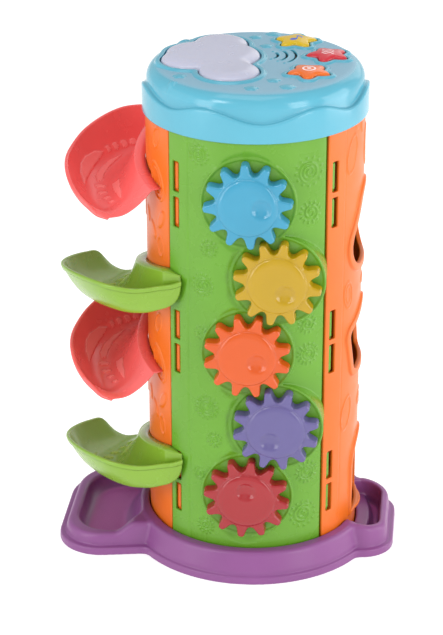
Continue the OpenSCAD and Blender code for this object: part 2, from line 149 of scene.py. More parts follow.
def nets(F, o, h):
    """Quads of the zero surface of F on a grid with origin o and steps h."""
    S = F < 0
    cnt = np.zeros(tuple(n - 1 for n in F.shape), np.int8)
    nx, ny, nz = cnt.shape
    for i, j, k in CORNERS:
        cnt += S[i:i + nx, j:j + ny, k:k + nz]
    I, J, K = np.nonzero((cnt > 0) & (cnt < 8))
    idx = np.full(cnt.shape, -1, np.int32)
    idx[I, J, K] = np.arange(len(I))
    vals = np.stack([F[I + i, J + j, K + k] for i, j, k in CORNERS], 1).astype(float)
    pos = np.zeros((len(I), 3))
    num = np.zeros(len(I))
    for a, b in EDGES:
        fa, fb = vals[:, a], vals[:, b]
        m = (fa < 0) != (fb < 0)
        t = np.where(m, fa/np.where(m, fa - fb, 1), 0)
        ca, cb = np.array(CORNERS[a], float), np.array(CORNERS[b], float)
        pos += np.where(m[:, None], ca + (cb - ca)*t[:, None], 0)
        num += m
    pos = (np.stack([I, J, K], 1) + pos/num[:, None])*np.asarray(h) + np.asarray(o)
    quads = []
    for ax, ring in ((0, ((0, -1, -1), (0, 0, -1), (0, 0, 0), (0, -1, 0))),
                     (1, ((-1, 0, -1), (-1, 0, 0), (0, 0, 0), (0, 0, -1))),
                     (2, ((-1, -1, 0), (0, -1, 0), (0, 0, 0), (-1, 0, 0)))):
        lo = [slice(1, -1)]*3
        hi = [slice(1, -1)]*3
        lo[ax], hi[ax] = slice(0, -1), slice(1, None)
        A, B = S[tuple(lo)], S[tuple(hi)]
        i, j, k = np.nonzero(A != B)
        flip = ~A[i, j, k]
        off = [1, 1, 1]
        off[ax] = 0
        i, j, k = i + off[0], j + off[1], k + off[2]
        q = np.stack([idx[i + a, j + b, k + c] for a, b, c in ring], 1)
        q[flip] = q[flip][:, ::-1]
        quads.append(q)
    return pos, np.concatenate(quads)


def sample(F, o, h, P):
    g = (P - np.asarray(o))/np.asarray(h)
    g = np.clip(g, 0, np.array(F.shape) - 1.001)
    b = g.astype(int)
    t = g - b
    out = 0
    for i, j, k in CORNERS:
        w = (t[:, 0] if i else 1 - t[:, 0])*(t[:, 1] if j else 1 - t[:, 1])*(t[:, 2] if k else 1 - t[:, 2])
        out = out + w*F[b[:, 0] + i, b[:, 1] + j, b[:, 2] + k]
    return out


def slope_at(F, o, h, P):
    n = np.zeros_like(P)
    for ax in range(3):
        e = np.zeros(3)
        e[ax] = h[ax]*0.8
        n[:, ax] = (sample(F, o, h, P + e) - sample(F, o, h, P - e))/(2*e[ax])
    return n


def new_object(name, verts, faces, mats, face_mat=None, normals=None, smooth=True):
    """A mesh object from vertices in millimetres."""
    me = bpy.data.meshes.new(name)
    faces = np.asarray(faces)
    n, m = len(faces), faces.shape[1]
    me.vertices.add(len(verts))
    me.vertices.foreach_set("co", (np.asarray(verts, float)*0.001).astype(F32).ravel())
    me.loops.add(n*m)
    me.loops.foreach_set("vertex_index", faces.astype(np.int32).ravel())
    me.polygons.add(n)
    me.polygons.foreach_set("loop_start", np.arange(0, n*m, m, dtype=np.int32))
    me.polygons.foreach_set("use_smooth", np.full(n, bool(smooth)))
    if face_mat is not None:
        me.polygons.foreach_set("material_index", np.asarray(face_mat, np.int32))
    me.update(calc_edges=True)
    for mt in mats:
        me.materials.append(mt)
    if normals is not None:
        me.normals_split_custom_set_from_vertices(normals)
    ob = bpy.data.objects.new(name, me)
    scene.collection.objects.link(ob)
    return ob


def field_object(name, F, o, h, mats, keep=1.0, to_xyz=None, to_grid=None, turn=0.0, pick=None):
    """Mesh the field, thin it out where it is flat, and give it the field's own normals."""
    pos, quads = nets(F, o, h)
    if to_xyz is not None:
        pos, quads = to_xyz(pos), quads[:, ::-1]           # the unrolled grid is left-handed
    ob = new_object(name, pos, quads, mats)
    if keep < 1:
        md = ob.modifiers.new("thin", "DECIMATE")
        md.ratio = keep
        dg = bpy.context.evaluated_depsgraph_get()
        me = bpy.data.meshes.new_from_object(ob.evaluated_get(dg))
        old = ob.data
        ob.modifiers.clear()
        ob.data = me
        bpy.data.meshes.remove(old)
        me.name = name
    me = ob.data
    v = np.zeros(len(me.vertices)*3, F32)
    me.vertices.foreach_get("co", v)
    v = v.reshape(-1, 3).astype(float)*1000
    if to_grid is None:
        nrm = slope_at(F, o, h, v)
    else:
        g = to_grid(v)
        ng = slope_at(F, o, h, g)
        a = g[:, 0]/97.0
        nu, nr = ng[:, 0]*97.0/np.maximum(g[:, 1], 1), ng[:, 1]
        nrm = np.stack([nu*np.cos(a) + nr*np.sin(a), nu*np.sin(a) - nr*np.cos(a), ng[:, 2]], 1)
    nrm /= np.maximum(np.linalg.norm(nrm, axis=1), 1e-6)[:, None]
    if turn:
        c, s = math.cos(math.radians(turn)), math.sin(math.radians(turn))
        rot = np.array([[c, -s, 0], [s, c, 0], [0, 0, 1]])
        v, nrm = v @ rot.T, nrm @ rot.T
        me.vertices.foreach_set("co", (v*0.001).astype(F32).ravel())
    me.polygons.foreach_set("use_smooth", np.ones(len(me.polygons), bool))
    if pick is not None:
        cen = np.zeros(len(me.polygons)*3, F32)
        me.polygons.foreach_get("center", cen)
        me.polygons.foreach_set("material_index", pick(cen.reshape(-1, 3)*1000).astype(np.int32))
    me.update()
    me.normals_split_custom_set_from_vertices(nrm)
    return ob


def axis(lo, hi, step):
    n = int(math.ceil((hi - lo)/step)) + 1
    return lo + np.arange(n)*step


# ------------------------------------------------------------------ materials
def lin(c):
    return tuple((x/255/12.92 if x/255 <= 0.04045 else ((x/255 + 0.055)/1.055)**2.4) for x in c)


def plastic(name, rgb, rough=0.30, peel=0.02, grain=0.0, spread=0.05, sss=0.0, edge=0.035, spec=0.5, coat=0.0):
    """Moulded plastic: flow variation in the colour, paler convex edges, fine orange peel, uneven gloss."""
    m = bpy.data.materials.new(name)
    m.use_nodes = True
    nt = m.node_tree
    nd, ln = nt.nodes, nt.links
    nd.clear()
    out = nd.new("ShaderNodeOutputMaterial")
    bs = nd.new("ShaderNodeBsdfPrincipled")
    ln.new(bs.outputs[0], out.inputs[0])
    c = np.array(lin(rgb))
    tc = nd.new("ShaderNodeTexCoord")
    flow = nd.new("ShaderNodeTexNoise")
    flow.inputs["Scale"].default_value = 16
    flow.inputs["Detail"].default_value = 3
    ln.new(tc.outputs["Object"], flow.inputs["Vector"])
    ramp = nd.new("ShaderNodeValToRGB")
    ramp.color_ramp.elements[0].position, ramp.color_ramp.elements[1].position = 0.32, 0.70
    ramp.color_ramp.elements[0].color = (*np.clip(c*(1 - spread), 0, 1), 1)
    ramp.color_ramp.elements[1].color = (*np.clip(c*(1 + spread), 0, 1), 1)
    ln.new(flow.outputs["Fac"], ramp.inputs["Fac"])
    geo = nd.new("ShaderNodeNewGeometry")
    pale_edge_mix = nd.new("ShaderNodeMapRange")
    pale_edge_mix.inputs["From Min"].default_value, pale_edge_mix.inputs["From Max"].default_value = 0.53, 0.66
    pale_edge_mix.inputs["To Min"].default_value, pale_edge_mix.inputs["To Max"].default_value = 0.0, edge
    ln.new(geo.outputs["Pointiness"], pale_edge_mix.inputs["Value"])
    mix = nd.new("ShaderNodeMix")
    mix.data_type = "RGBA"
    ln.new(pale_edge_mix.outputs[0], mix.inputs["Factor"])
    ln.new(ramp.outputs["Color"], mix.inputs["A"])
    mix.inputs["B"].default_value = (*np.clip(c*0.6 + 0.4, 0, 1), 1)
    ln.new(mix.outputs["Result"], bs.inputs["Base Color"])
    smear = nd.new("ShaderNodeTexNoise")
    smear.inputs["Scale"].default_value = 55
    smear.inputs["Detail"].default_value = 4
    ln.new(tc.outputs["Object"], smear.inputs["Vector"])
    rg = nd.new("ShaderNodeMapRange")
    rg.inputs["From Min"].default_value, rg.inputs["From Max"].default_value = 0.3, 0.7
    rg.inputs["To Min"].default_value, rg.inputs["To Max"].default_value = rough*0.86, rough*1.16
    ln.new(smear.outputs["Fac"], rg.inputs["Value"])
    ln.new(rg.outputs[0], bs.inputs["Roughness"])
    skin = nd.new("ShaderNodeTexNoise")
    skin.inputs["Scale"].default_value = 420
    skin.inputs["Detail"].default_value = 2
    ln.new(tc.outputs["Object"], skin.inputs["Vector"])
    bp = nd.new("ShaderNodeBump")
    bp.inputs["Strength"].default_value = peel*10
    bp.inputs["Distance"].default_value = 0.00008
    ln.new(skin.outputs["Fac"], bp.inputs["Height"])
    last = bp
    if grain:
        gr = nd.new("ShaderNodeTexVoronoi")
        gr.inputs["Scale"].default_value = 1300
        ln.new(tc.outputs["Object"], gr.inputs["Vector"])
        b2 = nd.new("ShaderNodeBump")
        b2.inputs["Strength"].default_value = grain
        b2.inputs["Distance"].default_value = 0.00012
        ln.new(gr.outputs["Distance"], b2.inputs["Height"])
        ln.new(bp.outputs[0], b2.inputs["Normal"])
        last = b2
    ln.new(last.outputs[0], bs.inputs["Normal"])
    bs.inputs["Specular IOR Level"].default_value = spec
    bs.inputs["IOR"].default_value = 1.5
    if coat:
        bs.inputs["Coat Weight"].default_value = coat
        bs.inputs["Coat Roughness"].default_value = 0.12
    if sss:
        bs.inputs["Subsurface Weight"].default_value = sss
        bs.inputs["Subsurface Radius"].default_value = (1.0, 0.8, 0.7)
        bs.inputs["Subsurface Scale"].default_value = 0.004
    return m


def matt_top_and_painted_light(m, rgb, z, rough):
    """Give a plastic a matt, finely textured face where it lies level, within 6 mm below height z, coloured rgb there.
    On the lid that is the top's own paler tone; on the base it is painted light, a paler pink that lifts the shaded
    tray floors.
    """
    nt = m.node_tree
    nd, ln = nt.nodes, nt.links
    bs = next(n for n in nd if n.type == "BSDF_PRINCIPLED")
    geo = next(n for n in nd if n.type == "NEW_GEOMETRY")
    tc = next(n for n in nd if n.type == "TEX_COORD")
    nz, pz = nd.new("ShaderNodeSeparateXYZ"), nd.new("ShaderNodeSeparateXYZ")
    ln.new(geo.outputs["True Normal"], nz.inputs[0])
    ln.new(tc.outputs["Object"], pz.inputs[0])
    flat = nd.new("ShaderNodeMapRange")
    flat.interpolation_type = "SMOOTHSTEP"
    flat.inputs["From Min"].default_value, flat.inputs["From Max"].default_value = 0.86, 0.995
    ln.new(nz.outputs["Z"], flat.inputs["Value"])
    low = nd.new("ShaderNodeMapRange")
    low.inputs["From Min"].default_value, low.inputs["From Max"].default_value = z + 0.0006, z + 0.0002
    ln.new(pz.outputs["Z"], low.inputs["Value"])
    f = nd.new("ShaderNodeMath")
    f.operation = "MULTIPLY"
    ln.new(flat.outputs[0], f.inputs[0])
    ln.new(low.outputs[0], f.inputs[1])
    up = nd.new("ShaderNodeMapRange")
    up.inputs["From Min"].default_value, up.inputs["From Max"].default_value = z - 0.006, z - 0.0056
    ln.new(pz.outputs["Z"], up.inputs["Value"])
    f2 = nd.new("ShaderNodeMath")
    f2.operation = "MULTIPLY"
    ln.new(f.outputs[0], f2.inputs[0])
    ln.new(up.outputs[0], f2.inputs[1])
    f = f2
    col = nd.new("ShaderNodeMix")
    col.data_type = "RGBA"
    ln.new(f.outputs[0], col.inputs["Factor"])
    ln.new(bs.inputs["Base Color"].links[0].from_socket, col.inputs["A"])
    col.inputs["B"].default_value = (*lin(rgb), 1)
    ln.new(col.outputs["Result"], bs.inputs["Base Color"])
    rg = nd.new("ShaderNodeMix")
    ln.new(f.outputs[0], rg.inputs["Factor"])
    ln.new(bs.inputs["Roughness"].links[0].from_socket, rg.inputs["A"])
    rg.inputs["B"].default_value = rough
    ln.new(rg.outputs["Result"], bs.inputs["Roughness"])
    gr = nd.new("ShaderNodeTexVoronoi")
    gr.inputs["Scale"].default_value = 1100
    ln.new(tc.outputs["Object"], gr.inputs["Vector"])
    b2 = nd.new("ShaderNodeBump")
    b2.inputs["Distance"].default_value = 0.00015
    ln.new(f.outputs[0], b2.inputs["Strength"])
    ln.new(gr.outputs["Distance"], b2.inputs["Height"])
    ln.new(bs.inputs["Normal"].links[0].from_socket, b2.inputs["Normal"])
    ln.new(b2.outputs[0], bs.inputs["Normal"])
    return m


def metal(name, rgb, rough=0.32):
    m = plastic(name, rgb, rough=rough, peel=0.01, spread=0.10, edge=0.25)
    bs = next(n for n in m.node_tree.nodes if n.type == "BSDF_PRINCIPLED")
    bs.inputs["Metallic"].default_value = 1.0
    return m


M = {
    # the base's level faces below about 5.7 mm, the tray floors, get a paler pink: painted light that brightens the
    # floors in their shade
    "base": matt_top_and_painted_light(plastic("moulded_purple", (132, 73, 132), rough=0.36), (168, 83, 155), 0.0055, 0.45),
    "green": plastic("moulded_green", (98, 154, 38), rough=0.27, spec=0.45),
    "orange": plastic("moulded_orange", (222, 105, 22), rough=0.34, spec=0.4),
    "red": plastic("moulded_red", (234, 93, 91), rough=0.25),
    "red_matt": plastic("textured_red", (240, 118, 115), rough=0.50, grain=0.30, spec=0.3),
    "lime": plastic("moulded_lime", (126, 166, 46), rough=0.25),
    "lime_matt": plastic("textured_lime", (156, 190, 76), rough=0.50, grain=0.30, spec=0.3),
    "lid": matt_top_and_painted_light(plastic("moulded_blue", (86, 166, 188), rough=0.16), (131, 173, 193), 0.460, 0.5),
    "cloud": plastic("lens_white", (186, 187, 206), rough=0.24, sss=0.35, spread=0.03, edge=0.02),
    "star_yellow": plastic("gloss_yellow", (212, 176, 4), rough=0.20),
    "star_red": plastic("gloss_crimson", (200, 40, 54), rough=0.20),
    "star_orange": plastic("gloss_tangerine", (232, 108, 28), rough=0.20),
    "gear_blue": plastic("gear_plastic_blue", (56, 144, 176), rough=0.15, spec=0.55),
    "gear_yellow": plastic("gear_plastic_yellow", (176, 141, 4), rough=0.15, spec=0.55),
    "gear_orange": plastic("gear_plastic_orange", (206, 82, 16), rough=0.15, spec=0.55),
    "gear_purple": plastic("gear_plastic_violet", (96, 88, 140), rough=0.15, spec=0.55),
    "gear_red": plastic("gear_plastic_red", (154, 32, 38), rough=0.15, spec=0.55),
    "steel": metal("zinc_plated_steel", (196, 198, 202)),
    "dark": plastic("dark_housing", (44, 44, 48), rough=0.5, grain=0.3),
    "board": plastic("board_green", (26, 98, 58), rough=0.4, spread=0.15),
    "lamp": plastic("lamp_epoxy", (240, 238, 226), rough=0.12, sss=0.4),
    "cell": metal("cell_sleeve", (92, 94, 100), rough=0.38),
    "dome": plastic("silicone_grey", (150, 150, 154), rough=0.6, sss=0.1),
    "ink_blue": plastic("print_blue", (58, 92, 190), rough=0.3, edge=0.0),
    "ink_pale": plastic("print_pale", (250, 222, 222), rough=0.3, edge=0.0),
}


def take(ob, node, body):
    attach(ob, body)
    if node:
        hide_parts(node)
    return ob


# ------------------------------------------------------------------ base
def make_base():
    st = 1.15*Q
    gx, gy, gz = axis(-181, 137, st), axis(-119, 119, st), axis(-1.2, 31, st*0.85)
    x, y, z = gx[:, None, None], gy[None, :, None], gz[None, None, :]
    x2, y2 = x[:, :, 0], y[:, :, 0]
    P = np.hypot(x, y)
    lobe_l = sd_poly(x2, y2, hull_pts([(-130, 28, 49), (-139, -38, 40), (0, 34.2, 20), (0, -34.2, 20)]))[:, :, None]
    lobe_r = sd_poly(x2, y2, hull_pts([(104.5, 27, 30), (104.5, -27, 30), (0, 24.3, 20), (0, -24.3, 20)]))[:, :, None]
    foot = smin(smin(P - 116.6, lobe_l, 5), lobe_r, 5)
    foot = rmax(foot + 0.06*np.maximum(z, 0), z - 7.5, 1.4)
    ring = rmax((P - np.minimum(114.3 - 0.29*(z - 8), 113.4))*0.96, z - 29, 3.2)
    k = np.clip((x + 124)/20, 0, 1)
    left = rmax(lobe_l + 6 + 0.16*(z - 8), (z - (18.3 + 10.1*k*k*(3 - 2*k)))*0.86, 4.0)
    righ = rmax(lobe_r + 5 + 0.16*(z - 8), (z - (28.6 - np.maximum(x - 103, 0)*(4.6/23)))*0.98, 3.6)
    F = smin(smin(ring, left, 3.5), righ, 3.5)
    F = rmin(foot, F, 1.2)
    F = rmax(F, -z, 0.8)
    # trays
    wall = (115.5 - z*(9.6/29.2) - P)*0.95
    tray = sd_poly(x2, y2, hull_pts([(-125.5, 22, 35), (-131.5, -29, 29), (-112, 34, 10), (-112, -34, 10)]))[:, :, None]
    hole = rmax(rmax(tray - 0.10*(z - 8), wall, 8), 3.5 - z, 11)
    F = rmax(F, -hole, 3.4)
    tray = sd_poly(x2, y2, hull_pts([(104, 25, 15.5), (104, -25, 15.5), (100, 22, 10), (100, -22, 10)]))[:, :, None]
    hole = rmax(rmax(tray - 0.06*(z - 8), wall, 3), 5 - z, 3)
    F = rmax(F, -hole, 2.0)
    F = rmax(F, -rmax(tray - 0.06*(z - 8), 14 - z, 2), 1.6)
    # socket for the panels
    F = rmax(F, -np.maximum(P - 98, 3 - z), 1.2)
    # underside: hollow of the round wall, screw seats
    groove = np.maximum(np.maximum(101 - P, P - 112.6 + np.maximum(z - 3, 0)*0.33), z - 25)
    groove = np.maximum(groove, np.where((x > 80) & (np.abs(y) < 50), z - 2.5, -99))
    groove = np.maximum(groove, np.where((x < -75) & (np.abs(y) < 72), z - 2.5, -99))
    F = np.maximum(F, -groove)
    for a in range(4):
        cx, cy = 86*math.sin(a*math.pi/2), -86*math.cos(a*math.pi/2)
        boss = np.hypot(x - cx, y - cy)
        F = np.minimum(F, np.maximum(boss - 7, np.maximum(z - 6, -z)))
        F = np.maximum(F, -np.minimum(np.maximum(boss - 3.8, z - 3), boss - 1.8))
    ob = field_object("base_moulding", F.astype(F32), (gx[0], gy[0], gz[0]), (st, st, st*0.85), [M["base"]])
    take(ob, "base", "tower")


# ------------------------------------------------------------------ lid
STAR_POS = [(31.3, 56.5), (62.0, 18.4), (48.7, -30.0)]
STAR_ROT = [90, -100, -90]
CLOUD = [(-35, 41, 25), (-31, 8, 35), (-19.5, -35.5, 26.8), (-54, 14, 27), (-56, -6, 27)]


def sd_star(x, y, cx, cy, rot, k=1.0):
    p, q = x - cx, y - cy
    rho = np.hypot(p, q)
    a = np.arctan2(q, p) - math.radians(rot)
    r = k*(15.6 + 3.5*np.cos(5*a) + 0.2*np.cos(10*a))
    dr = k*(-17.5*np.sin(5*a) - 2*np.sin(10*a))
    return (rho - r)/np.sqrt(1 + (dr/np.maximum(rho, 0.6*r))**2)


def sd_cloud(x, y, k=5.0):
    d = None
    for cx, cy, r in CLOUD:
        c = np.hypot(x - cx, y - cy) - r
        d = c if d is None else smin(d, c, k)
    return d


WAVE = [(-176, 446), (-151, 436), (-125, 446), (-99, 436.5), (-73, 445.5), (-43.5, 439), (-21.5, 446.3), (8.5, 435.7),
        (38, 446), (62, 436.6), (87, 445.5), (113, 436), (139, 446), (162, 436.5), (184, 446)]


def wave_at(deg):
    """Height of the skirt's wavy edge round the lid."""
    deg = (deg + 176) % 360 - 176
    a, h = np.array(WAVE, float).T
    i = np.clip(np.searchsorted(a, deg, side="right") - 1, 0, len(a) - 2)
    t = (deg - a[i])/(a[i + 1] - a[i])
    return h[i] + (h[i + 1] - h[i])*(0.5 - 0.5*np.cos(np.pi*t))


def make_lid():
    st, sz = 0.74*Q, 0.68*Q
    g, gz = axis(-101.2, 101.2, st), axis(417.6, 463.4, sz)
    x, y, z = g[:, None, None], g[None, :, None], gz[None, None, :]
    P = np.hypot(x, y)
    ang = np.arctan2(x, -y)
    wave = wave_at(np.degrees(ang))
    ztop = 447 + np.sqrt(np.maximum(169 - np.maximum(P - 82.7, 0)**2, 0))     # the shoulder's own height
    F = rmax(P - 95.7, z - 460, 13)
    skirt = rmax(P - 100, (z - wave)*0.93, 2.0)
    F = rmin(F, skirt, 1.2)
    d_star = [sd_star(x, y, *p, r) for p, r in zip(STAR_POS, STAR_ROT)]
    d_cloud = sd_cloud(x, y)
    for d in d_star:
        F = rmin(F, rmax(rmax(d - 4.6, z - 461.8, 1.8), 452 - z, 0.2), 1.2)
    F = rmin(F, rmax(rmax(d_cloud - 4.6, z - 462.0, 1.9), 452 - z, 0.2), 1.6)
    # little raised stars and beads on the top
    for i, (cx, cy, k) in enumerate([(-6, 68, 0.36), (9, 79, 0.50), (6, 43, 0.40), (-61, -49, 0.36), (3, -75, 0.40),
                                     (20, -52, 0.38), (33, -68, 0.50), (-70, 53, 0.34), (-66, -62, 0.26)]):
        d = sd_star(x, y, cx, cy, 40 + 67*i, k)
        F = rmin(F, rmax(d, (z - (ztop + 1.6 - 0.012*((x - cx)**2 + (y - cy)**2)/k))*0.9, 0.9), 0.5)
    for rr, a0 in ((14, 50), (22, 46), (30, 44)):
        for s in (-1, 1):
            a = math.radians(s*a0)
            cx, cy = 4 + rr*math.cos(a), 17 + rr*math.sin(a)
            F = rmin(F, np.sqrt((x - cx)**2 + (y - cy)**2 + (z - 459.8)**2) - 1.3, 0.4)
    # sound slots with a raised lip
    q = np.hypot(x - 4, y - 17)
    qa = np.abs(np.arctan2(y - 17, x - 4))
    cut = None
    for rr in (14, 22, 30):
        d = np.maximum(np.abs(q - rr) - 1.0, (qa - math.radians(35))*rr)
        F = rmin(F, rmax(np.maximum(np.abs(q - rr - 0.3) - 2.0, (qa - math.radians(38))*rr), z - 460.5, 0.7), 0.5)
        cut = d if cut is None else np.minimum(cut, d)
    F = rmax(F, -np.maximum(cut, 450 - z), 0.3)
    for d in d_star:
        F = rmax(F, -(d - 0.5), 0.8)
    F = rmax(F, -(d_cloud - 0.35), 0.8)
    # hollow inside
    hollow = rmax(P - 93.1, z - 457.6, 10.6)
    hollow = np.minimum(hollow, np.maximum(P - 98, z - 432))
    F = np.maximum(F, -hollow)
    F = rmax(F, 418.8 - z, 0.8)
    # slot of the power switch, in a shallow round-cornered frame
    sw = rmax(np.abs(x) - 8.5, np.abs(z - 446) - 3, 0.8)
    F = np.where(y > 60, rmin(F, np.maximum(rmax(rmax(np.abs(x) - 11.5, np.abs(z - 446) - 5.6, 2), P - 96.6, 0.8), 92 - P), 0.5), F)
    F = np.where(y > 60, np.maximum(F, -sw), F)
    ob = field_object("lid_moulding", F.astype(F32), (g[0], g[0], gz[0]), (st, st, sz), [M["lid"]], keep=0.55)
    take(ob, "lid_cover", "tower")


def make_cloud():
    st = 0.8*Q
    gx, gy, gz = axis(-87.4, 12, st), axis(-67, 71, st), axis(453.4, 467.4, st*0.8)
    x, y, z = gx[:, None, None], gy[None, :, None], gz[None, None, :]
    d = sd_cloud(x, y)
    # the outline, found along rays, so that the pillow rises from it to one soft crown
    ray = np.radians(np.arange(0, 360, 2.0))
    lo, hi = np.zeros(len(ray)), np.full(len(ray), 90.0)
    for _ in range(24):
        mid = (lo + hi)/2
        inside = sd_cloud(-36 + mid*np.cos(ray), 4 + mid*np.sin(ray)) < 0
        lo, hi = np.where(inside, mid, lo), np.where(inside, hi, mid)
    edge = sd_poly(x[:, :, 0], y[:, :, 0], [(-36 + r*math.cos(a), 4 + r*math.sin(a)) for r, a in zip(lo, ray)])[:, :, None]
    soft = np.clip(-edge/15, 0, 1)
    puff = 6.2*np.sqrt(1 - (1 - soft)**2)
    F = rmax(d, (z - 459.7 - puff)*0.72, 2.4)
    F = np.minimum(F, rmax(d - 2.0, z - 456.5, 0.6))
    F = np.maximum(F, 454.6 - z)
    F = np.maximum(F, -np.maximum(d + 2.2, z - 458.6))
    ob = field_object("cloud_lens_moulding", F.astype(F32), (gx[0], gy[0], gz[0]), (st, st, st*0.8), [M["cloud"]])
    take(ob, "cloud_lens", "tower")


def star_top(x, y, cx, cy):
    return 465.1 - ((x - cx)**2 + (y - cy)**2)/140.0


def sd_icon(i, x, y):
    """Printed signs of the three buttons, round the button's own middle."""
    if i == 0:                                             # a note
        head = oval(x, y, -2.0, -4.6, 3.4, 2.5, 18)
        stem = np.maximum(np.abs(x - 0.9) - 0.65, np.abs(y - 0.4) - 5.2)
        flag, at = sd_line(x, y, [(1.0, 5.4), (2.4, 3.6), (4.6, 2.6), (5.2, 0.4)])
        return np.minimum(np.minimum(head, stem), flag - 1.3 + 0.7*at)
    if i == 1:                                             # three waves
        d = None
        for k in (-4.2, 0.0, 4.2):
            w = np.maximum(np.abs(y - k - 1.1*np.sin(x*0.85)) - 0.75, np.abs(x) - 5.4)
            d = w if d is None else np.minimum(d, w)
        return d
    rho = np.hypot(x, y)                                   # a ring round a dot
    return np.minimum(np.abs(rho - 5.2) - 0.9, rho - 2.1)


def make_icon(i, c, mat):
    cx, cy = STAR_POS[i]
    st, sw = 0.30*Q, 0.10
    gx, gy, gw = axis(-8, 8, st), axis(-8, 8, st), axis(-0.5, 0.3, sw)
    x, y, w = gx[:, None, None], gy[None, :, None], gw[None, None, :]
    F = np.maximum(sd_icon(i, x, y) + 0*w, np.maximum(w - 0.09, -0.3 - w))
    o, h = (gx[0], gy[0], gw[0]), (st, st, sw)
    pos, quads = nets(F.astype(F32), o, h)
    n = slope_at(F, o, h, pos)
    n = np.stack([n[:, 0] + n[:, 2]*pos[:, 0]/70, n[:, 1] + n[:, 2]*pos[:, 1]/70, n[:, 2]], 1)
    n /= np.maximum(np.linalg.norm(n, axis=1), 1e-6)[:, None]
    pos[:, 2] += star_top(pos[:, 0], pos[:, 1], 0, 0)
    pos[:, :2] += (cx, cy)
    ob = new_object("print_" + c, pos, quads, [mat], normals=n)
    take(ob, None, "button_" + c)


def make_stars():
    st = 0.5*Q
    for i, c in enumerate(("yellow", "red", "orange")):
        cx, cy = STAR_POS[i]
        gx, gy, gz = axis(cx - 24, cx + 24, st), axis(cy - 24, cy + 24, st), axis(445.4, 466.2, st)
        x, y, z = gx[:, None, None], gy[None, :, None], gz[None, None, :]
        d = sd_star(x, y, cx, cy, STAR_ROT[i])
        F = rmax(d, (z - star_top(x, y, cx, cy))*0.97, 2.6)
        F = np.maximum(F, 455.4 - z)
        F = np.minimum(F, rmax(rmax(d - 2.1, z - 456.3, 0.5), 454.6 - z, 0.3))
        rho = np.hypot(x - cx, y - cy)
        F = np.minimum(F, rmax(np.maximum(rho - 3.5, z - 456), 446.35 - z, 0.4))
        ob = field_object("star_%s_button" % c, F.astype(F32), (gx[0], gy[0], gz[0]), (st, st, st), [M["star_" + c]], keep=0.6)
        take(ob, "star_" + c, "button_" + c)
        make_icon(i, c, M["ink_blue"] if i == 0 else M["ink_pale"])


# ------------------------------------------------------------------ gears
GEAR_X = [2.8, 28.8, 2.8, 28.8, 2.8]
GEAR_Z = [363.4 - 70.6*i for i in range(5)]
PHASE = [4.5, 20.9, 13.7, 11.7, 22.9]
DIMPLE = [0, -45, -22, -118, 90]
DIMPLE_AT = [12.5, 10.7, 10, 10, 10]
COL = ["blue", "yellow", "orange", "purple", "red"]


def make_gears():
    st = 0.66*Q
    back = -94.1
    for i, c in enumerate(COL):
        g, gw = axis(-40.3, 40.3, st), axis(-15.4, 8.9, st)       # gw along +Y from the gear's back plane
        p, w, q = g[:, None, None], -gw[None, :, None], g[None, None, :]
        rho = np.hypot(p, q)
        a = np.degrees(np.arctan2(q, p)) - PHASE[i]
        a = np.radians((a + 15) % 30 - 15)
        px, py = rho*np.cos(a), np.abs(rho*np.sin(a))
        hw = np.interp(px.ravel(), [24, 28.3, 29.6, 33, 37, 40], [6.2, 5.7, 5.25, 4.45, 3.45, 2.75]).reshape(px.shape)
        tooth = rmax((py - hw)*0.96, px - 39, 2.5)
        plan = smin(rho - 28.5, tooth, 3.0)
        F = rmax(plan + 0.05*np.maximum(w, 0), w - 11, 1.8)
        edge = 3.3*(1 - np.sqrt(1 - np.clip((rho - 18.5)/7.7, 0, 1)**2))
        disc = rmax(rho - 26.2, (w - 14.0 + edge)*0.8, 0.4)
        F = rmin(F, disc, 0.5)
        F = rmax(F, -w, 0.5)
        da = math.radians(DIMPLE[i])
        ball = np.sqrt((p - DIMPLE_AT[i]*math.cos(da))**2 + (q - DIMPLE_AT[i]*math.sin(da))**2 + (w - 23.9)**2) - 13.5
        F = rmax(F, -ball, 0.9)
        F = np.maximum(F, -np.maximum(np.maximum(rho - 24, 9.8 - rho), w - 8))
        F = np.minimum(F, np.maximum(rho - 7, np.maximum(w - 2, -8.0 - w)))
        F = np.maximum(F, -np.maximum(rho - 1.6, w - 4))
        ob = field_object("gear_%s_moulding" % c, F.astype(F32), (g[0] + GEAR_X[i], gw[0] + back, g[0] + GEAR_Z[i]),
                          (st, st, st), [M["gear_" + c]])
        take(ob, "gear_" + c, "gear_train_" + c)


# ------------------------------------------------------------------ wall panels
RAD = math.pi/180
U = 97*RAD                     # millimetres of arc per degree on the wall
PAIRS = [362, 222, 82]


def sun_spiral(u, z, R, turns, hand, a0, beads, dash):
    """Raised spiral with a ring of beads or short rays round it."""
    rho, a = np.hypot(u, z), np.arctan2(z, u)*hand
    step = R*0.60/turns
    t = (rho - 0.6)/step                                   # turn number at this radius
    n = np.round(t - (a - a0)/(2*math.pi))
    arm = n + (a - a0)/(2*math.pi)
    d = np.abs(rho - (0.6 + step*arm))
    h = np.where((arm > 0.12) & (arm < turns + 0.05), bump(d, step*0.34), 0)
    b = (np.arctan2(z, u) + a0) % (2*math.pi/beads) - math.pi/beads
    bu, bv = rho*np.cos(b) - R*0.84, rho*np.sin(b)
    if dash:
        k = np.hypot(np.maximum(np.abs(bu) - R*0.09, 0), bv)
        h = np.maximum(h, bump(k, R*0.055 + 0.25))
    else:
        h = np.maximum(h, bump(np.hypot(bu, bv), R*0.085 + 0.2))
    return h


def sun_rings(u, z, R, beads, a0):
    """Two raised rings round a button, with rays."""
    rho = np.hypot(u, z)
    h = np.maximum(bump(np.abs(rho - R*0.42), 0.75), bump(np.abs(rho - R*0.64), 0.75))
    h = np.maximum(h, bump(rho, R*0.20))
    b = (np.arctan2(z, u) + a0) % (2*math.pi/beads) - math.pi/beads
    bu, bv = rho*np.cos(b) - R*0.86, rho*np.sin(b)
    return np.maximum(h, bump(np.hypot(np.maximum(np.abs(bu) - R*0.08, 0), bv), R*0.06 + 0.25))


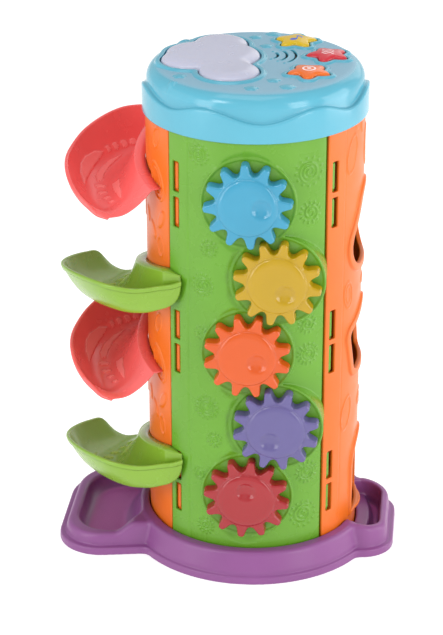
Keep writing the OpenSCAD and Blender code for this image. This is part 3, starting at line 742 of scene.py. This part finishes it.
def raise_suns(F, u2, r2, gz, suns, high=1.15):
    """Lift the wall's outer face by the ornaments that lie on it."""
    for kind, deg, zc, R, arg in suns:
        near = np.nonzero((np.abs(u2 - deg*U) < R + 1) & (r2 > 95.8) & (r2 < 99.5))
        ks = np.nonzero(np.abs(gz - zc) < R + 1)[0]
        if not len(near[0]) or not len(ks):
            continue
        du = (u2[near] - deg*U)[:, None]
        dz = (gz[ks] - zc)[None, :]
        if kind == "spiral":
            h = sun_spiral(du, dz, R, *arg)
        else:
            h = sun_rings(du, dz, R, *arg)
        i, j = near
        F[i[:, None], j[:, None], ks[None, :]] -= (high*h).astype(F32)


def panel_core(u2, r2, z):
    """Curved wall with its slotted flange and the hook strip of the far edge."""
    wall = rmax(r2 - 97, np.abs(u2) - 44.65*U, 0.7)
    wall = np.maximum(wall, 94.6 - r2)
    fl = rmax(rmax(r2 - 97.6, u2 + 31.5*U, 0.5), -44.65*U - u2, 0.6)
    fl = np.maximum(fl, 95 - r2)
    wall = rmax(wall, -np.hypot(u2 + 31.5*U - 1.1, r2 - 97.3), 1.3)   # shadow line beside the flange
    plan = np.minimum(wall, fl)
    hook = np.maximum(rmax(rmax(r2 - 94.3, u2 - 51.6*U, 0.4), 41*U - u2, 0.3), 90.8 - r2)
    web = np.maximum(np.maximum(r2 - 95.6, 93 - r2), np.abs(u2 - 42.9*U) - 1.3*U)
    F = np.maximum(plan[:, :, None], np.maximum(3.2 - z, z - 430))
    H = np.maximum(np.minimum(hook, web)[:, :, None], np.maximum(6 - z, z - 426))
    tab = rmax(r2 - 95.6, np.abs(u2 - 50.05*U) - 1.15*U, 0.4)
    tab = np.maximum(tab, 93.6 - r2)
    for zc in PAIRS:
        for s in (-16.5, 16.5):
            box = rmax(np.abs(u2 + 39.5*U)[:, :, None] - 2.2*U, np.abs(z - zc - s) - 14, 0.5)
            F = rmax(F, -box, 0.35)
            H = np.minimum(H, rmax(tab[:, :, None], np.abs(z - zc - s) - 12, 0.4))
    # screw boss at the foot
    xl, yl = r2*np.sin(u2/97), -r2*np.cos(u2/97)
    boss = np.hypot(xl, yl + 86)
    post = np.minimum(boss - 4.5, np.maximum(np.abs(xl) - 1.5, np.abs(yl + 91.5) - 4))
    post = np.maximum(post[:, :, None], np.maximum(6.2 - z, z - 20.2))
    post = np.maximum(post, -np.maximum((boss - 1.55)[:, :, None], z - 18.5))
    return F, np.minimum(H, post)


def unrolled(st, sr, r0, r1):
    gu, gr, gz = axis(-78, 89.5, st), axis(r0, r1, sr), axis(2.0, 431.2, st)
    u2, r2 = np.meshgrid(gu, gr, indexing="ij")
    return gu, gr, gz, u2, r2, gz[None, None, :]


def to_xyz(p):
    a = p[:, 0]/97.0
    return np.stack([p[:, 1]*np.sin(a), -p[:, 1]*np.cos(a), p[:, 2]], 1)


def to_grid(v):
    return np.stack([97.0*np.arctan2(v[:, 0], -v[:, 1]), np.hypot(v[:, 0], v[:, 1]), v[:, 2]], 1)


def make_front():
    st = 0.88*Q
    gx, gy, gz = axis(-76.5, 76.5, st), axis(-99.4, -55, st), axis(2.0, 431.2, st)
    x2, y2 = np.meshgrid(gx, gy, indexing="ij")
    u2, r2 = 97*np.arctan2(x2, -y2), np.hypot(x2, y2)
    z = gz[None, None, :]
    F, H = panel_core(u2, r2, z)
    F = F.astype(F32)
    suns = [("spiral", 33.6, 389.5, 15.0, (2.6, 1, 0.4, 13, False)), ("spiral", 34.6, 352, 11.0, (1.8, -1, 2.0, 13, True)),
            ("spiral", 33.8, 247, 9.6, (1.8, 1, 1.0, 12, True)), ("rings", 34.4, 218, 11.0, (14, 0.1)),
            ("rings", 34.6, 100, 11.4, (14, 0.2)), ("spiral", 33.0, 58, 14.6, (2.4, -1, 2.6, 14, False)),
            ("spiral", -24.6, 404, 10.6, (2.0, 1, 3.0, 13, False)), ("rings", -18.8, 319, 8.4, (12, 0.0)),
            ("spiral", -22.6, 284, 11.6, (2.2, -1, 0.8, 14, False)), ("rings", -20.4, 166, 12.0, (16, 0.1)),
            ("spiral", -16.0, 135, 7.8, (1.6, 1, 4.0, 12, True)), ("spiral", -21.2, 46, 9.0, (1.9, 1, 1.7, 13, True)),
            ("rings", -24.0, 238, 6.6, (11, 0.3)), ("rings", 33.0, 287, 5.2, (10, 0.2)), ("spiral", -24.4, 98, 7.4, (1.6, -1, 0.2, 11, False))]
    raise_suns(F, u2, r2, gz, suns)
    # round pads that carry the gears
    dp = None
    for gxc, gzc in zip(GEAR_X, GEAR_Z):
        d = np.hypot(gx[:, None] - gxc, gz[None, :] - gzc) - 41
        dp = d if dp is None else smin(dp, d, 1.6)
    dp = dp[:, None, :].astype(F32)
    y = gy[None, :, None].astype(F32)
    r3 = r2[:, :, None].astype(F32)
    F = rmax(F, ((u2 - 44.0*U)[:, :, None]).astype(F32), 0.7)
    # the wall falls gently to each pad, which has a thin bead round its edge
    F = rmax(F, -np.maximum((dp - 2.2*np.maximum(-93.5 - y, 0))*0.41, y + 93.5), 0.5)
    plate = np.maximum(rmax(dp, -93.5 - y, 1.1), y + 90.5)
    wall = np.maximum(np.maximum(rmax(dp, -93.5 - y, 1.1), -2.6 - dp), np.maximum(94.8 - r3, y + 66))
    seat = np.maximum(np.maximum(dp - 8.2, r3 - 96.4), np.maximum((-93.5 - y - np.maximum(dp, 0)/2.2)*0.91, y + 90.5))
    bead = np.hypot(dp + 0.2, y + 93.3) - 0.95
    F = np.minimum(np.minimum(F, H), np.minimum(np.minimum(plate, wall), seat))
    F = rmin(F, bead.astype(F32), 1.5)
    # boss and bore of each hub
    for gxc, gzc in zip(GEAR_X, GEAR_Z):
        k = np.nonzero(np.abs(gz - gzc) < 12)[0]
        b = np.hypot(gx[:, None] - gxc, gz[None, k] - gzc)[:, None, :]
        sub = np.minimum(F[:, :, k], np.maximum(np.maximum(b - 11, y + 86.5), -92.5 - y))
        F[:, :, k] = np.maximum(sub, -np.maximum(b - 7.05, y + 80))
    ob = field_object("front_panel_moulding", F.astype(F32), (gx[0], gy[0], gz[0]), (st, st, st), [M["green"]], keep=0.42)
    take(ob, "front_panel", "tower")


def oval(u, z, cu, cz, ru, rz, rot=0.0):
    c, s = math.cos(math.radians(rot)), math.sin(math.radians(rot))
    p, q = (u - cu)*c + (z - cz)*s, -(u - cu)*s + (z - cz)*c
    k = np.sqrt((p/ru)**2 + (q/rz)**2)
    return (k - 1)*min(ru, rz)


def raise_ovals(F, u2, r2, gz, shapes):
    """Raised or outlined ovals: degrees, height, half width, half height, tilt, line width (0 for a filled one), lift."""
    for deg, zc, ru, rz, rot, line, lift in shapes:
        R = max(ru, rz) + 3
        near = np.nonzero((np.abs(u2 - deg*U) < R) & (r2 > 95.8) & (r2 < 99.5))
        ks = np.nonzero(np.abs(gz - zc) < R)[0]
        if not len(near[0]) or not len(ks):
            continue
        d = oval((u2[near])[:, None], gz[ks][None, :], deg*U, zc, ru, rz, rot)
        h = bump(np.abs(d), line) if line else plateau(d, 1.4)
        i, j = near
        F[i[:, None], j[:, None], ks[None, :]] -= (lift*h).astype(F32)


def make_left():
    st = 0.95*Q
    gu, gr, gz, u2, r2, z = unrolled(st, 0.62*Q, 89.6, 99.4)
    F, H = panel_core(u2, r2, z)
    F = F.astype(F32)
    shapes = []
    for zc in (379.5, 203.5):
        shapes += [(33.5, zc - 14, 9, 17, 24, 0.9, 0.9), (33.5, zc - 14, 5.5, 12, 24, 0.8, 0.7), (37.5, zc - 48, 5, 11, -30, 0, 0.9),
                   (28.0, zc - 62, 5, 10, 35, 0, 0.9), (36.5, zc - 74, 4.6, 9, 8, 0.8, 0.9), (20, zc - 52, 4.5, 9, 20, 0, 0.9),
                   (-24, zc - 20, 9, 17, -24, 0.9, 0.9), (-24, zc - 20, 5.5, 12, -24, 0.8, 0.7), (-20, zc - 60, 5, 10, 30, 0, 0.9),
                   (-10, zc - 54, 4.6, 9, -20, 0, 0.9), (6, zc - 52, 4.6, 9, 10, 0.8, 0.9), (33, zc + 26, 5, 10, -20, 0.8, 0.9)]
    raise_ovals(F, u2, r2, gz, shapes)
    F = np.minimum(F, H)
    tilt = math.atan(0.255)
    xl = (r2*np.sin(u2/97))[:, :, None]
    for zc, m in ((379.5, -1), (272.5, 1), (203.5, -1), (96.5, 1)):
        # local x runs towards the front, the collar falls towards the ramp's low end
        t = (z - (zc - 1))*math.cos(tilt) - m*xl*math.sin(tilt)
        for s in (-1, 1):
            cut = np.maximum(np.abs(u2 - s*16*U)[:, :, None] - 8.6*U, np.maximum(t - 0.4, -3.4 - t))
            F = np.maximum(F, -cut)
    ob = field_object("left_panel_moulding", F.astype(F32), (gu[0], gr[0], gz[0]), (st, 0.62*Q, st), [M["orange"]],
                      keep=0.40, to_xyz=to_xyz, to_grid=to_grid, turn=-90)
    take(ob, "left_panel", "tower")


def make_right():
    st, sr = 0.92*Q, 0.66*Q
    gu, gr, gz, u2, r2, z = unrolled(st, sr, 89.6, 103.6)
    F, H = panel_core(u2, r2, z)
    F = F.astype(F32)
    shapes = [(-25.5, 259.5, 7, 12.5, 8, 0.9, 0.9), (-25.5, 259.5, 3.8, 8.5, 8, 0.8, 0.7), (25.5, 259.5, 7, 12.5, -8, 0.9, 0.9),
              (25.5, 259.5, 3.8, 8.5, -8, 0.8, 0.7), (0, 259.5, 11, 5, 0, 0, 0.9), (-24.5, 392, 8, 17, -14, 0.9, 0.9),
              (24.5, 392, 8, 17, 14, 0.9, 0.9), (-20, 418, 5, 8, 40, 0, 0.9), (20, 418, 5, 8, -40, 0, 0.9), (0, 388, 9, 18, 0, 0.9, 0.9),
              (0, 388, 5.4, 13, 0, 0.8, 0.7), (-12, 410, 4, 7, 30, 0, 0.9), (12, 410, 4, 7, -30, 0, 0.9), (-25, 142, 8, 16, -16, 0.9, 0.9),
              (25, 142, 8, 16, 16, 0.9, 0.9), (0, 141, 13, 7, 0, 0.9, 0.9), (0, 141, 8, 3.6, 0, 0, 0.8)]
    raise_ovals(F, u2, r2, gz, shapes)
    xl, yl = r2*np.sin(u2/97), -r2*np.cos(u2/97)
    front = np.abs(u2) < 40*U
    big = 60.0
    xs, zs = (97*np.sin(gu/97))[:, None], gz[None, :]
    tri = sd_poly(xs, zs, hull_pts([(0, 329, 21), (-17, 303, 21), (17, 303, 21)]))
    pent = sd_poly(xs, zs, hull_pts([(0, 230, 7), (-31, 216, 7), (31, 216, 7), (-24, 187, 7), (24, 187, 7)]))
    arch = np.minimum(np.maximum(np.abs(xs) - 27, np.abs(zs - 55.5) - 22.5), np.hypot(xs, zs - 78) - 27)
    frame_d = np.minimum(np.minimum(tri - 7, pent - 7), np.maximum(arch - 4.5, 29.6 - zs))[:, None, :]
    lip = rmax(frame_d, (r2 - 99.2)[:, :, None], 1.5)
    lip = np.maximum(lip, (95.2 - r2)[:, :, None])
    lip = np.where(front[:, :, None], lip, big)
    F = rmin(F, lip.astype(F32), 1.2)
    sill = np.maximum(np.hypot(xl, yl + 61) - 40.6, r2 - 102.5)
    sill = np.maximum(rmax(sill[:, :, None], np.abs(z - 31.2) - 1.8, 0.9), (95.2 - r2)[:, :, None])
    sill = np.where(front[:, :, None], sill, big)
    F = np.minimum(F, sill.astype(F32))
    hole = np.minimum(np.minimum(tri, pent), np.maximum(arch, 33 - zs))[:, None, :]
    hole = np.where(front[:, :, None], hole, big).astype(F32)
    F = rmax(F, -hole, 1.2)
    F = np.minimum(F, H)
    ob = field_object("right_panel_moulding", F.astype(F32), (gu[0], gr[0], gz[0]), (st, sr, st), [M["orange"]],
                      keep=0.40, to_xyz=to_xyz, to_grid=to_grid, turn=90)
    take(ob, "right_panel", "tower")


def make_back():
    st = 0.95*Q
    gu, gr, gz, u2, r2, z = unrolled(st, 0.62*Q, 89.6, 99.4)
    F, H = panel_core(u2, r2, z)
    F = F.astype(F32)
    suns = [("spiral", 4, 360, 22, (3.4, 1, 0.4, 18, False)), ("rings", 30, 392, 10, (14, 0.1)), ("spiral", -20, 300, 13, (2.4, -1, 1.0, 15, True)),
            ("rings", 24, 306, 15, (16, 0.0)), ("spiral", 6, 238, 17, (2.8, -1, 2.0, 17, False)), ("rings", -22, 214, 11, (14, 0.2)),
            ("spiral", 30, 222, 10, (2.0, 1, 0.7, 13, True)), ("spiral", -14, 150, 14, (2.4, 1, 2.2, 15, False)), ("rings", 20, 150, 17, (18, 0.1)),
            ("spiral", 2, 82, 16, (2.6, -1, 1.4, 16, True)), ("rings", 32, 84, 9, (12, 0.0)), ("spiral", -20, 396, 11, (2.0, -1, 3.0, 13, False)),
            ("rings", -24, 62, 9, (13, 0.1))]
    raise_suns(F, u2, r2, gz, suns)
    F = np.minimum(F, H)
    ob = field_object("back_panel_moulding", F.astype(F32), (gu[0], gr[0], gz[0]), (st, 0.62*Q, st), [M["green"]],
                      keep=0.40, to_xyz=to_xyz, to_grid=to_grid, turn=180)
    take(ob, "back_panel", "tower")


# ------------------------------------------------------------------ ramps
RIM = {
    1: np.array([[-57, -83, 15], [-68, -82.5, 8.5], [-84, -81.5, 3], [-100, -80, 0.5], [-118, -78, 2], [-134, -70, 3],
                 [-150, -54, 1], [-163, -34, -3], [-172, -12, -8], [-174, 8, -12], [-169, 28, -16], [-160, 46, -20],
                 [-152, 58, -24], [-144, 64, -35.5], [-135, 69, -46.5], [-125, 73, -48]], float),
    -1: np.array([[-57, -83, 20], [-68, -82.5, 13.5], [-84, -81.5, 9.5], [-99, -80, 7.5], [-114.5, -78, 8], [-129, -70, 7.5],
                  [-144, -54, 4], [-157, -34, -2], [-164.5, -12, -9], [-166, 8, -12.5], [-163, 28, -16], [-156.5, 46, -22],
                  [-148, 58, -28.5], [-139, 64, -35], [-130.5, 69, -41], [-121, 73, -43]], float)}
NR = 15


def rim_at(rim, t):
    i = np.minimum(t.astype(int), NR - 1)
    f = (t - i)[:, None]
    a, b, c, d = rim[np.maximum(i - 1, 0)], rim[i], rim[i + 1], rim[np.minimum(i + 2, NR)]
    return 0.5*(2*b + (c - a)*f + (2*a - 5*b + 4*c - d)*f*f + (3*b - a - 3*c + d)*f**3)


def ease(k):
    c = np.clip(k, 0, 1)
    return c*c*(3 - 2*c)


def scoop(rim, t, u, e, tip=0.0):
    """Points of the scoop's skin: t along the rim, u from the tower (below 0) over the collar's edge (0) to the rim (1)."""
    t, u = np.broadcast_arrays(t, u)
    sh = t.shape
    t, u = t.ravel(), u.ravel()
    o3 = rim_at(rim, t)
    a = np.radians(-54 + 92*t/NR)
    ri = np.maximum(98.1, np.minimum(107, np.hypot(o3[:, 0], o3[:, 1]) - 1.5) - e)
    pi = np.stack([-ri*np.cos(a), ri*np.sin(a)], 1)
    d = o3[:, :2] - pi
    po = o3[:, :2] + d/np.linalg.norm(d, axis=1)[:, None]*e
    w = np.linalg.norm(po - pi, axis=1)
    zi = -0.255*pi[:, 1] - 1 - np.where(u <= 0, e, 0)
    k = np.clip(-u, 0, 1)[:, None]
    rt = 97.15 + 0.6*ease((np.abs(np.degrees(a)) - 28)/3)           # close to the wall, clear of the flanges
    tow = np.stack([-rt*np.cos(a), rt*np.sin(a)], 1)
    p = np.where((u < 0)[:, None], pi + (tow - pi)*k, pi + (po - pi)*np.maximum(u, 0)[:, None])
    zf = -38 - 0.13*p[:, 1] + 4*ease((-10 - p[:, 1])/60) - e
    s = np.maximum(0, u)*w
    q = np.maximum(0, (t - 9)/6)
    k = ease(t/6)
    ga = np.maximum(0, 1 - s/np.minimum(8 + 22*k + 18*q, w*(0.5 + 0.6*ease((t - 8)/6))))**(2.4 - 0.5*q)
    gb = np.maximum(0, 1 - (w - s)/np.minimum(8 + 24*k, 0.5*w))**2.4
    zt = zi + (o3[:, 2] - zi)*np.maximum(0, u)
    deep = np.sqrt(1 - (1 - np.minimum(1, t/4.4))**2)                 # the bowl rounds up at its high end
    deep = deep*(1 - tip*ease((t - 12)/3))
    z = np.where(u <= 0, zi, zt + ((zf - zt)*deep - e*(1 - deep))*(1 - ga)*(1 - gb))
    return np.stack([p[:, 0], p[:, 1], z], 1).reshape(*sh, 3)


CRESCENTS = [[(-151, 15), (-156, 4), (-157.5, -7), (-155.5, -18), (-149, -31), (-142, -38), (-145, -28), (-148, -18), (-150, -8), (-151, 4)],
             [(-142, 0), (-144.5, -8), (-142.5, -21), (-136, -35), (-126, -47), (-131, -37), (-135.5, -27), (-138, -15), (-138, -3)],
             [(-127.5, 8), (-124.5, 22), (-120, 34), (-114, 46), (-115.5, 36), (-118.5, 26), (-121, 9)]]


def ramp_relief(x, y):
    """Height of the ornament on the scoop's floor: crescents and rows of ovals."""
    h = np.zeros(x.shape)
    for pts in CRESCENTS:
        h = np.maximum(h, plateau(sd_poly(x, y, pts) - 0.5, 0.9))
    for cx, cy, ru, rv, rot in ((-138.5, 8.5, 5.6, 3.4, 0), (-134.5, 21, 5.2, 3.0, 8), (-129, 32, 4.2, 2.4, 14), (-123.5, 42, 3.4, 2.0, 20),
                                (-138.5, -43, 3.4, 2.3, -45), (-132.5, -50, 4.0, 2.5, -45), (-125.5, -57, 4.4, 2.6, -42), (-118, -63.5, 4.2, 2.4, -38)):
        h = np.maximum(h, plateau(oval(x, y, cx, cy, ru, rv, rot), 0.9))
    return h


def make_ramp(name, zc, m, mat, matt):
    nt, nu = ((190, 130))
    t = np.linspace(0, NR, nt)
    uu = np.concatenate([[-1, -0.5], np.linspace(0, 1, nu)**1.0])
    tip = 0.45 if m < 0 else 0.0
    inner = scoop(RIM[m], t[:, None], uu[None, :], 0.0, tip)
    outer = scoop(RIM[m], t[:, None], uu[None, :], 2.6, tip)
    slim = ease((t - 12.5)/2.5)[:, None]                     # the sheet is thinner at the exit
    outer += slim[:, :, None]*(scoop(RIM[m], t[:, None], uu[None, :], 1.5, tip) - outer)
    if m > 0:
        nose = 4.0*(1 - ease(t/1.8))[:, None]                # the high end dips to a nose
        inner[:, :, 2] -= nose
        outer[:, :, 2] -= nose
    # soften the collar's edge a little
    for arr in (inner, outer):
        for _ in range(2):
            z = arr[:, 1:6, 2].copy()
            z[:, 1:-1] = 0.25*z[:, :-2] + 0.5*z[:, 1:-1] + 0.25*z[:, 2:]
            arr[:, 1:6, 2] = z
    lift = np.zeros(inner.shape[:2])
    lift[:, 2:] = ramp_relief(inner[:, 2:, 0], inner[:, 2:, 1])
    inner[:, :, 2] += 1.2*lift
    # rounded lip over the rim, a little proud of the outside
    ends, fr = inner[:, -1], outer[:, -1]
    out2 = fr[:, :2] - ends[:, :2]
    out2 /= np.maximum(np.linalg.norm(out2, axis=1), 1e-6)[:, None]
    thin = 1 - 0.9*ease((t - 12.3)/2.7)                     # the roll thins out towards the exit
    lips = []
    for k, (o, zz) in enumerate(((0.25, 0.75), (0.95, 1.25), (1.9, 1.35), (2.8, 1.05), (3.35, 0.35), (3.45, -0.6), (3.1, -1.6), (2.75, -2.4))):
        p = ends.copy()
        p[:, :2] += out2*(o*thin[:, None] + 1.5*(1 - thin[:, None])*k/7)
        p[:, 2] += zz*thin
        lips.append(p)
    lip = np.stack(lips, 1)
    outer[:, -1, 2] = np.minimum(outer[:, -1, 2], inner[:, -1, 2] - 3.2 + 1.7*slim[:, 0])
    loop = np.concatenate([inner, lip, outer[:, ::-1]], 1)
    n = loop.shape[1]
    verts = loop.reshape(-1, 3).copy()
    i, j = np.meshgrid(np.arange(nt - 1), np.arange(n), indexing="ij")
    jn = (j + 1) % n
    quads = np.stack([i*n + j, i*n + jn, (i + 1)*n + jn, (i + 1)*n + j], -1).reshape(-1, 4)
    # close both ends
    a = inner.shape[1]
    caps = []
    for row, flip in ((0, False), (nt - 1, True)):
        b = row*n
        ring_in = list(range(a + 4))
        ring_out = [n - 1 - k for k in range(a + 4)]
        for k in range(a + 3):
            q = [b + ring_in[k], b + ring_out[k], b + ring_out[k + 1], b + ring_in[k + 1]]
            if len(set(q)) == 4:
                caps.append(q[::-1] if flip else q)
    quads = np.concatenate([quads, np.array(caps)])
    if m < 0:
        verts[:, 1] *= -1
    else:
        quads = quads[:, ::-1]
    verts[:, 2] += zc
    on = np.zeros(loop.shape[:2])
    on[:, :a] = lift
    face_mat = on.ravel()[quads].mean(1) > 0.5
    ob = new_object(name + "_moulding", verts, quads, [mat, matt], face_mat=face_mat)
    take(ob, None, "tower")
    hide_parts(name)
    return ob


# ------------------------------------------------------------------ power switch
def make_switch():
    st = 0.35*Q
    gx, gy, gz = axis(-12, 5, st), axis(85.5, 97.9, st), axis(441, 451, st)
    x, y, z = gx[:, None, None], gy[None, :, None], gz[None, None, :]
    knob = rmax(rmax(np.abs(x + 3.5) - 4.1, np.abs(z - 446) - 2.6, 0.7), y - 96.8, 0.8)
    for k in (-2, 0, 2):
        knob = rmax(knob, -(np.hypot(x + 3.5 - k, y - 97.1) - 0.75), 0.2)
    knob = np.maximum(knob, 90.5 - y)
    plate = rmax(np.maximum(np.abs(x + 3.5) - 7.5, np.abs(z - 446) - 4), np.abs(y - 89.8) - 1.3, 0.3)
    stem = np.maximum(np.maximum(np.abs(x + 3.5) - 1.5, np.abs(z - 446) - 1.6), np.maximum(86.5 - y, y - 89.5))
    F = np.minimum(np.minimum(knob, plate), stem)
    ob = field_object("switch_knob_moulding", F.astype(F32), (gx[0], gy[0], gz[0]), (st, st, st), [M["star_orange"]], keep=0.7)
    take(ob, "switch_knob", "power_switch")


def make_domes():
    """Rubber return domes under the star buttons."""
    prof = [(2.2, 4.0), (2.2, 3.8), (2.2, 0.2), (2.2, 0.0), (2.5, 0.0), (5.7, 0.0), (5.95, 0.08), (6.0, 0.25), (6.0, 0.95),
            (5.9, 1.15), (5.6, 1.2), (5.4, 1.25), (5.2, 1.75), (4.6, 3.4), (4.0, 5.05), (3.76, 5.7), (3.55, 6.02), (3.2, 6.17), (2.8, 6.2)]
    n, seg = len(prof), 48
    j = np.arange(seg)
    k = (j + 1) % seg
    ang = 2*np.pi*j/seg
    for (cx, cy), c in zip(STAR_POS, ("yellow", "red", "orange")):
        V = [np.stack([cx + r*np.cos(ang), cy + r*np.sin(ang), np.full(seg, 440 + h)], 1) for r, h in prof]
        V = np.concatenate(V + [np.array([(cx, cy, 444.0), (cx, cy, 446.2)])])
        T = []
        for q in range(n - 1):
            a, b = q*seg, (q + 1)*seg
            T += [np.stack([a + j, a + k, b + k], 1), np.stack([a + j, b + k, b + j], 1)]
        T.append(np.stack([np.full(seg, n*seg), k, j], 1))
        T.append(np.stack([(n - 1)*seg + j, (n - 1)*seg + k, np.full(seg, n*seg + 1)], 1))
        ob = new_object("dome_" + c + "_moulding", V, np.concatenate(T), [M["dome"]])
        take(ob, "dome_" + c, "tower")
        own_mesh(ob)


make_base()
make_lid()
make_cloud()
make_stars()
make_gears()
make_front()
make_left()
make_right()
make_back()
for nm, zc, m in (("ramp_red_upper", 379.5, -1), ("ramp_red_lower", 203.5, -1)):
    make_ramp(nm, zc, m, M["red"], M["red_matt"])
for nm, zc, m in (("ramp_green_upper", 272.5, 1), ("ramp_green_lower", 96.5, 1)):
    make_ramp(nm, zc, m, M["lime"], M["lime_matt"])
make_switch()
make_domes()

# CAD pieces that keep their own shape
for node, mat in {"base_screws": "steel", "lid_screws": "steel", "battery_door_screw": "steel", "battery_contacts": "steel",
                  "ball_chute": "orange", "lid_floor": "lid", "battery_door": "lid", "lamp": "lamp", "circuit_board": "board",
                  "speaker": "dark", "battery_box": "dark", "batteries": "cell", "switch_housing": "dark",
                  **{"washer_" + c: "steel" for c in COL}, **{"screw_" + c: "steel" for c in COL}}.items():
    me = NODE[node].data
    me.materials.clear()
    me.materials.append(M[mat])

# ------------------------------------------------------------------ floor and light
fl = bpy.data.meshes.new("floor")
fl.from_pydata([(-24, -24, 0), (24, -24, 0), (24, 24, 0), (-24, 24, 0)], [], [(0, 1, 2, 3)])
floor = bpy.data.objects.new("floor", fl)
scene.collection.objects.link(floor)
fm = bpy.data.materials.new("studio_floor")
fm.use_nodes = True
fb = next(n for n in fm.node_tree.nodes if n.type == "BSDF_PRINCIPLED")
fb.inputs["Base Color"].default_value = (0.78, 0.78, 0.78, 1)
fb.inputs["Roughness"].default_value = 0.7
fb.inputs["Specular IOR Level"].default_value = 0.2
fb.inputs["Emission Color"].default_value = (1, 1, 1, 1)
fb.inputs["Emission Strength"].default_value = 0.46
fl.materials.append(fm)

world = bpy.data.worlds.new("studio")
world.use_nodes = True
bg = next(n for n in world.node_tree.nodes if n.type == "BACKGROUND")
bg.inputs["Color"].default_value = (1, 1, 1, 1)
bg.inputs["Strength"].default_value = 0.64
scene.world = world


def area(name, loc, target, size, power, sy=None):
    d = bpy.data.lights.new(name, "AREA")
    d.shape = "RECTANGLE"
    d.size, d.size_y = size, sy or size
    d.energy = power
    o = bpy.data.objects.new(name, d)
    o.location = loc
    o.rotation_euler = (Vector(target) - Vector(loc)).to_track_quat("-Z", "Y").to_euler()
    scene.collection.objects.link(o)


area("key", (-0.9, -1.3, 1.5), (0, 0, 0.25), 0.50, 5.5)
area("left", (-1.25, -1.15, 0.62), (0, 0, 0.22), 0.60, 7.2, 1.2)
area("right", (1.35, -1.15, 0.70), (0, 0, 0.25), 0.60, 10, 1.25)
area("front", (0.1, -2.3, 0.8), (0, 0, 0.22), 1.4, 2)
area("side", (1.15, 0.10, 0.46), (0, 0, 0.30), 0.75, 5, 0.88)
area("fill", (-1.5, -0.2, 0.7), (-0.05, 0, 0.22), 1.2, 3)
area("top", (-0.1, -0.25, 1.95), (0, 0, 0.3), 1.1, 5, 0.9)
area("rim", (0.6, 1.6, 1.1), (0, 0, 0.3), 1.2, 4)
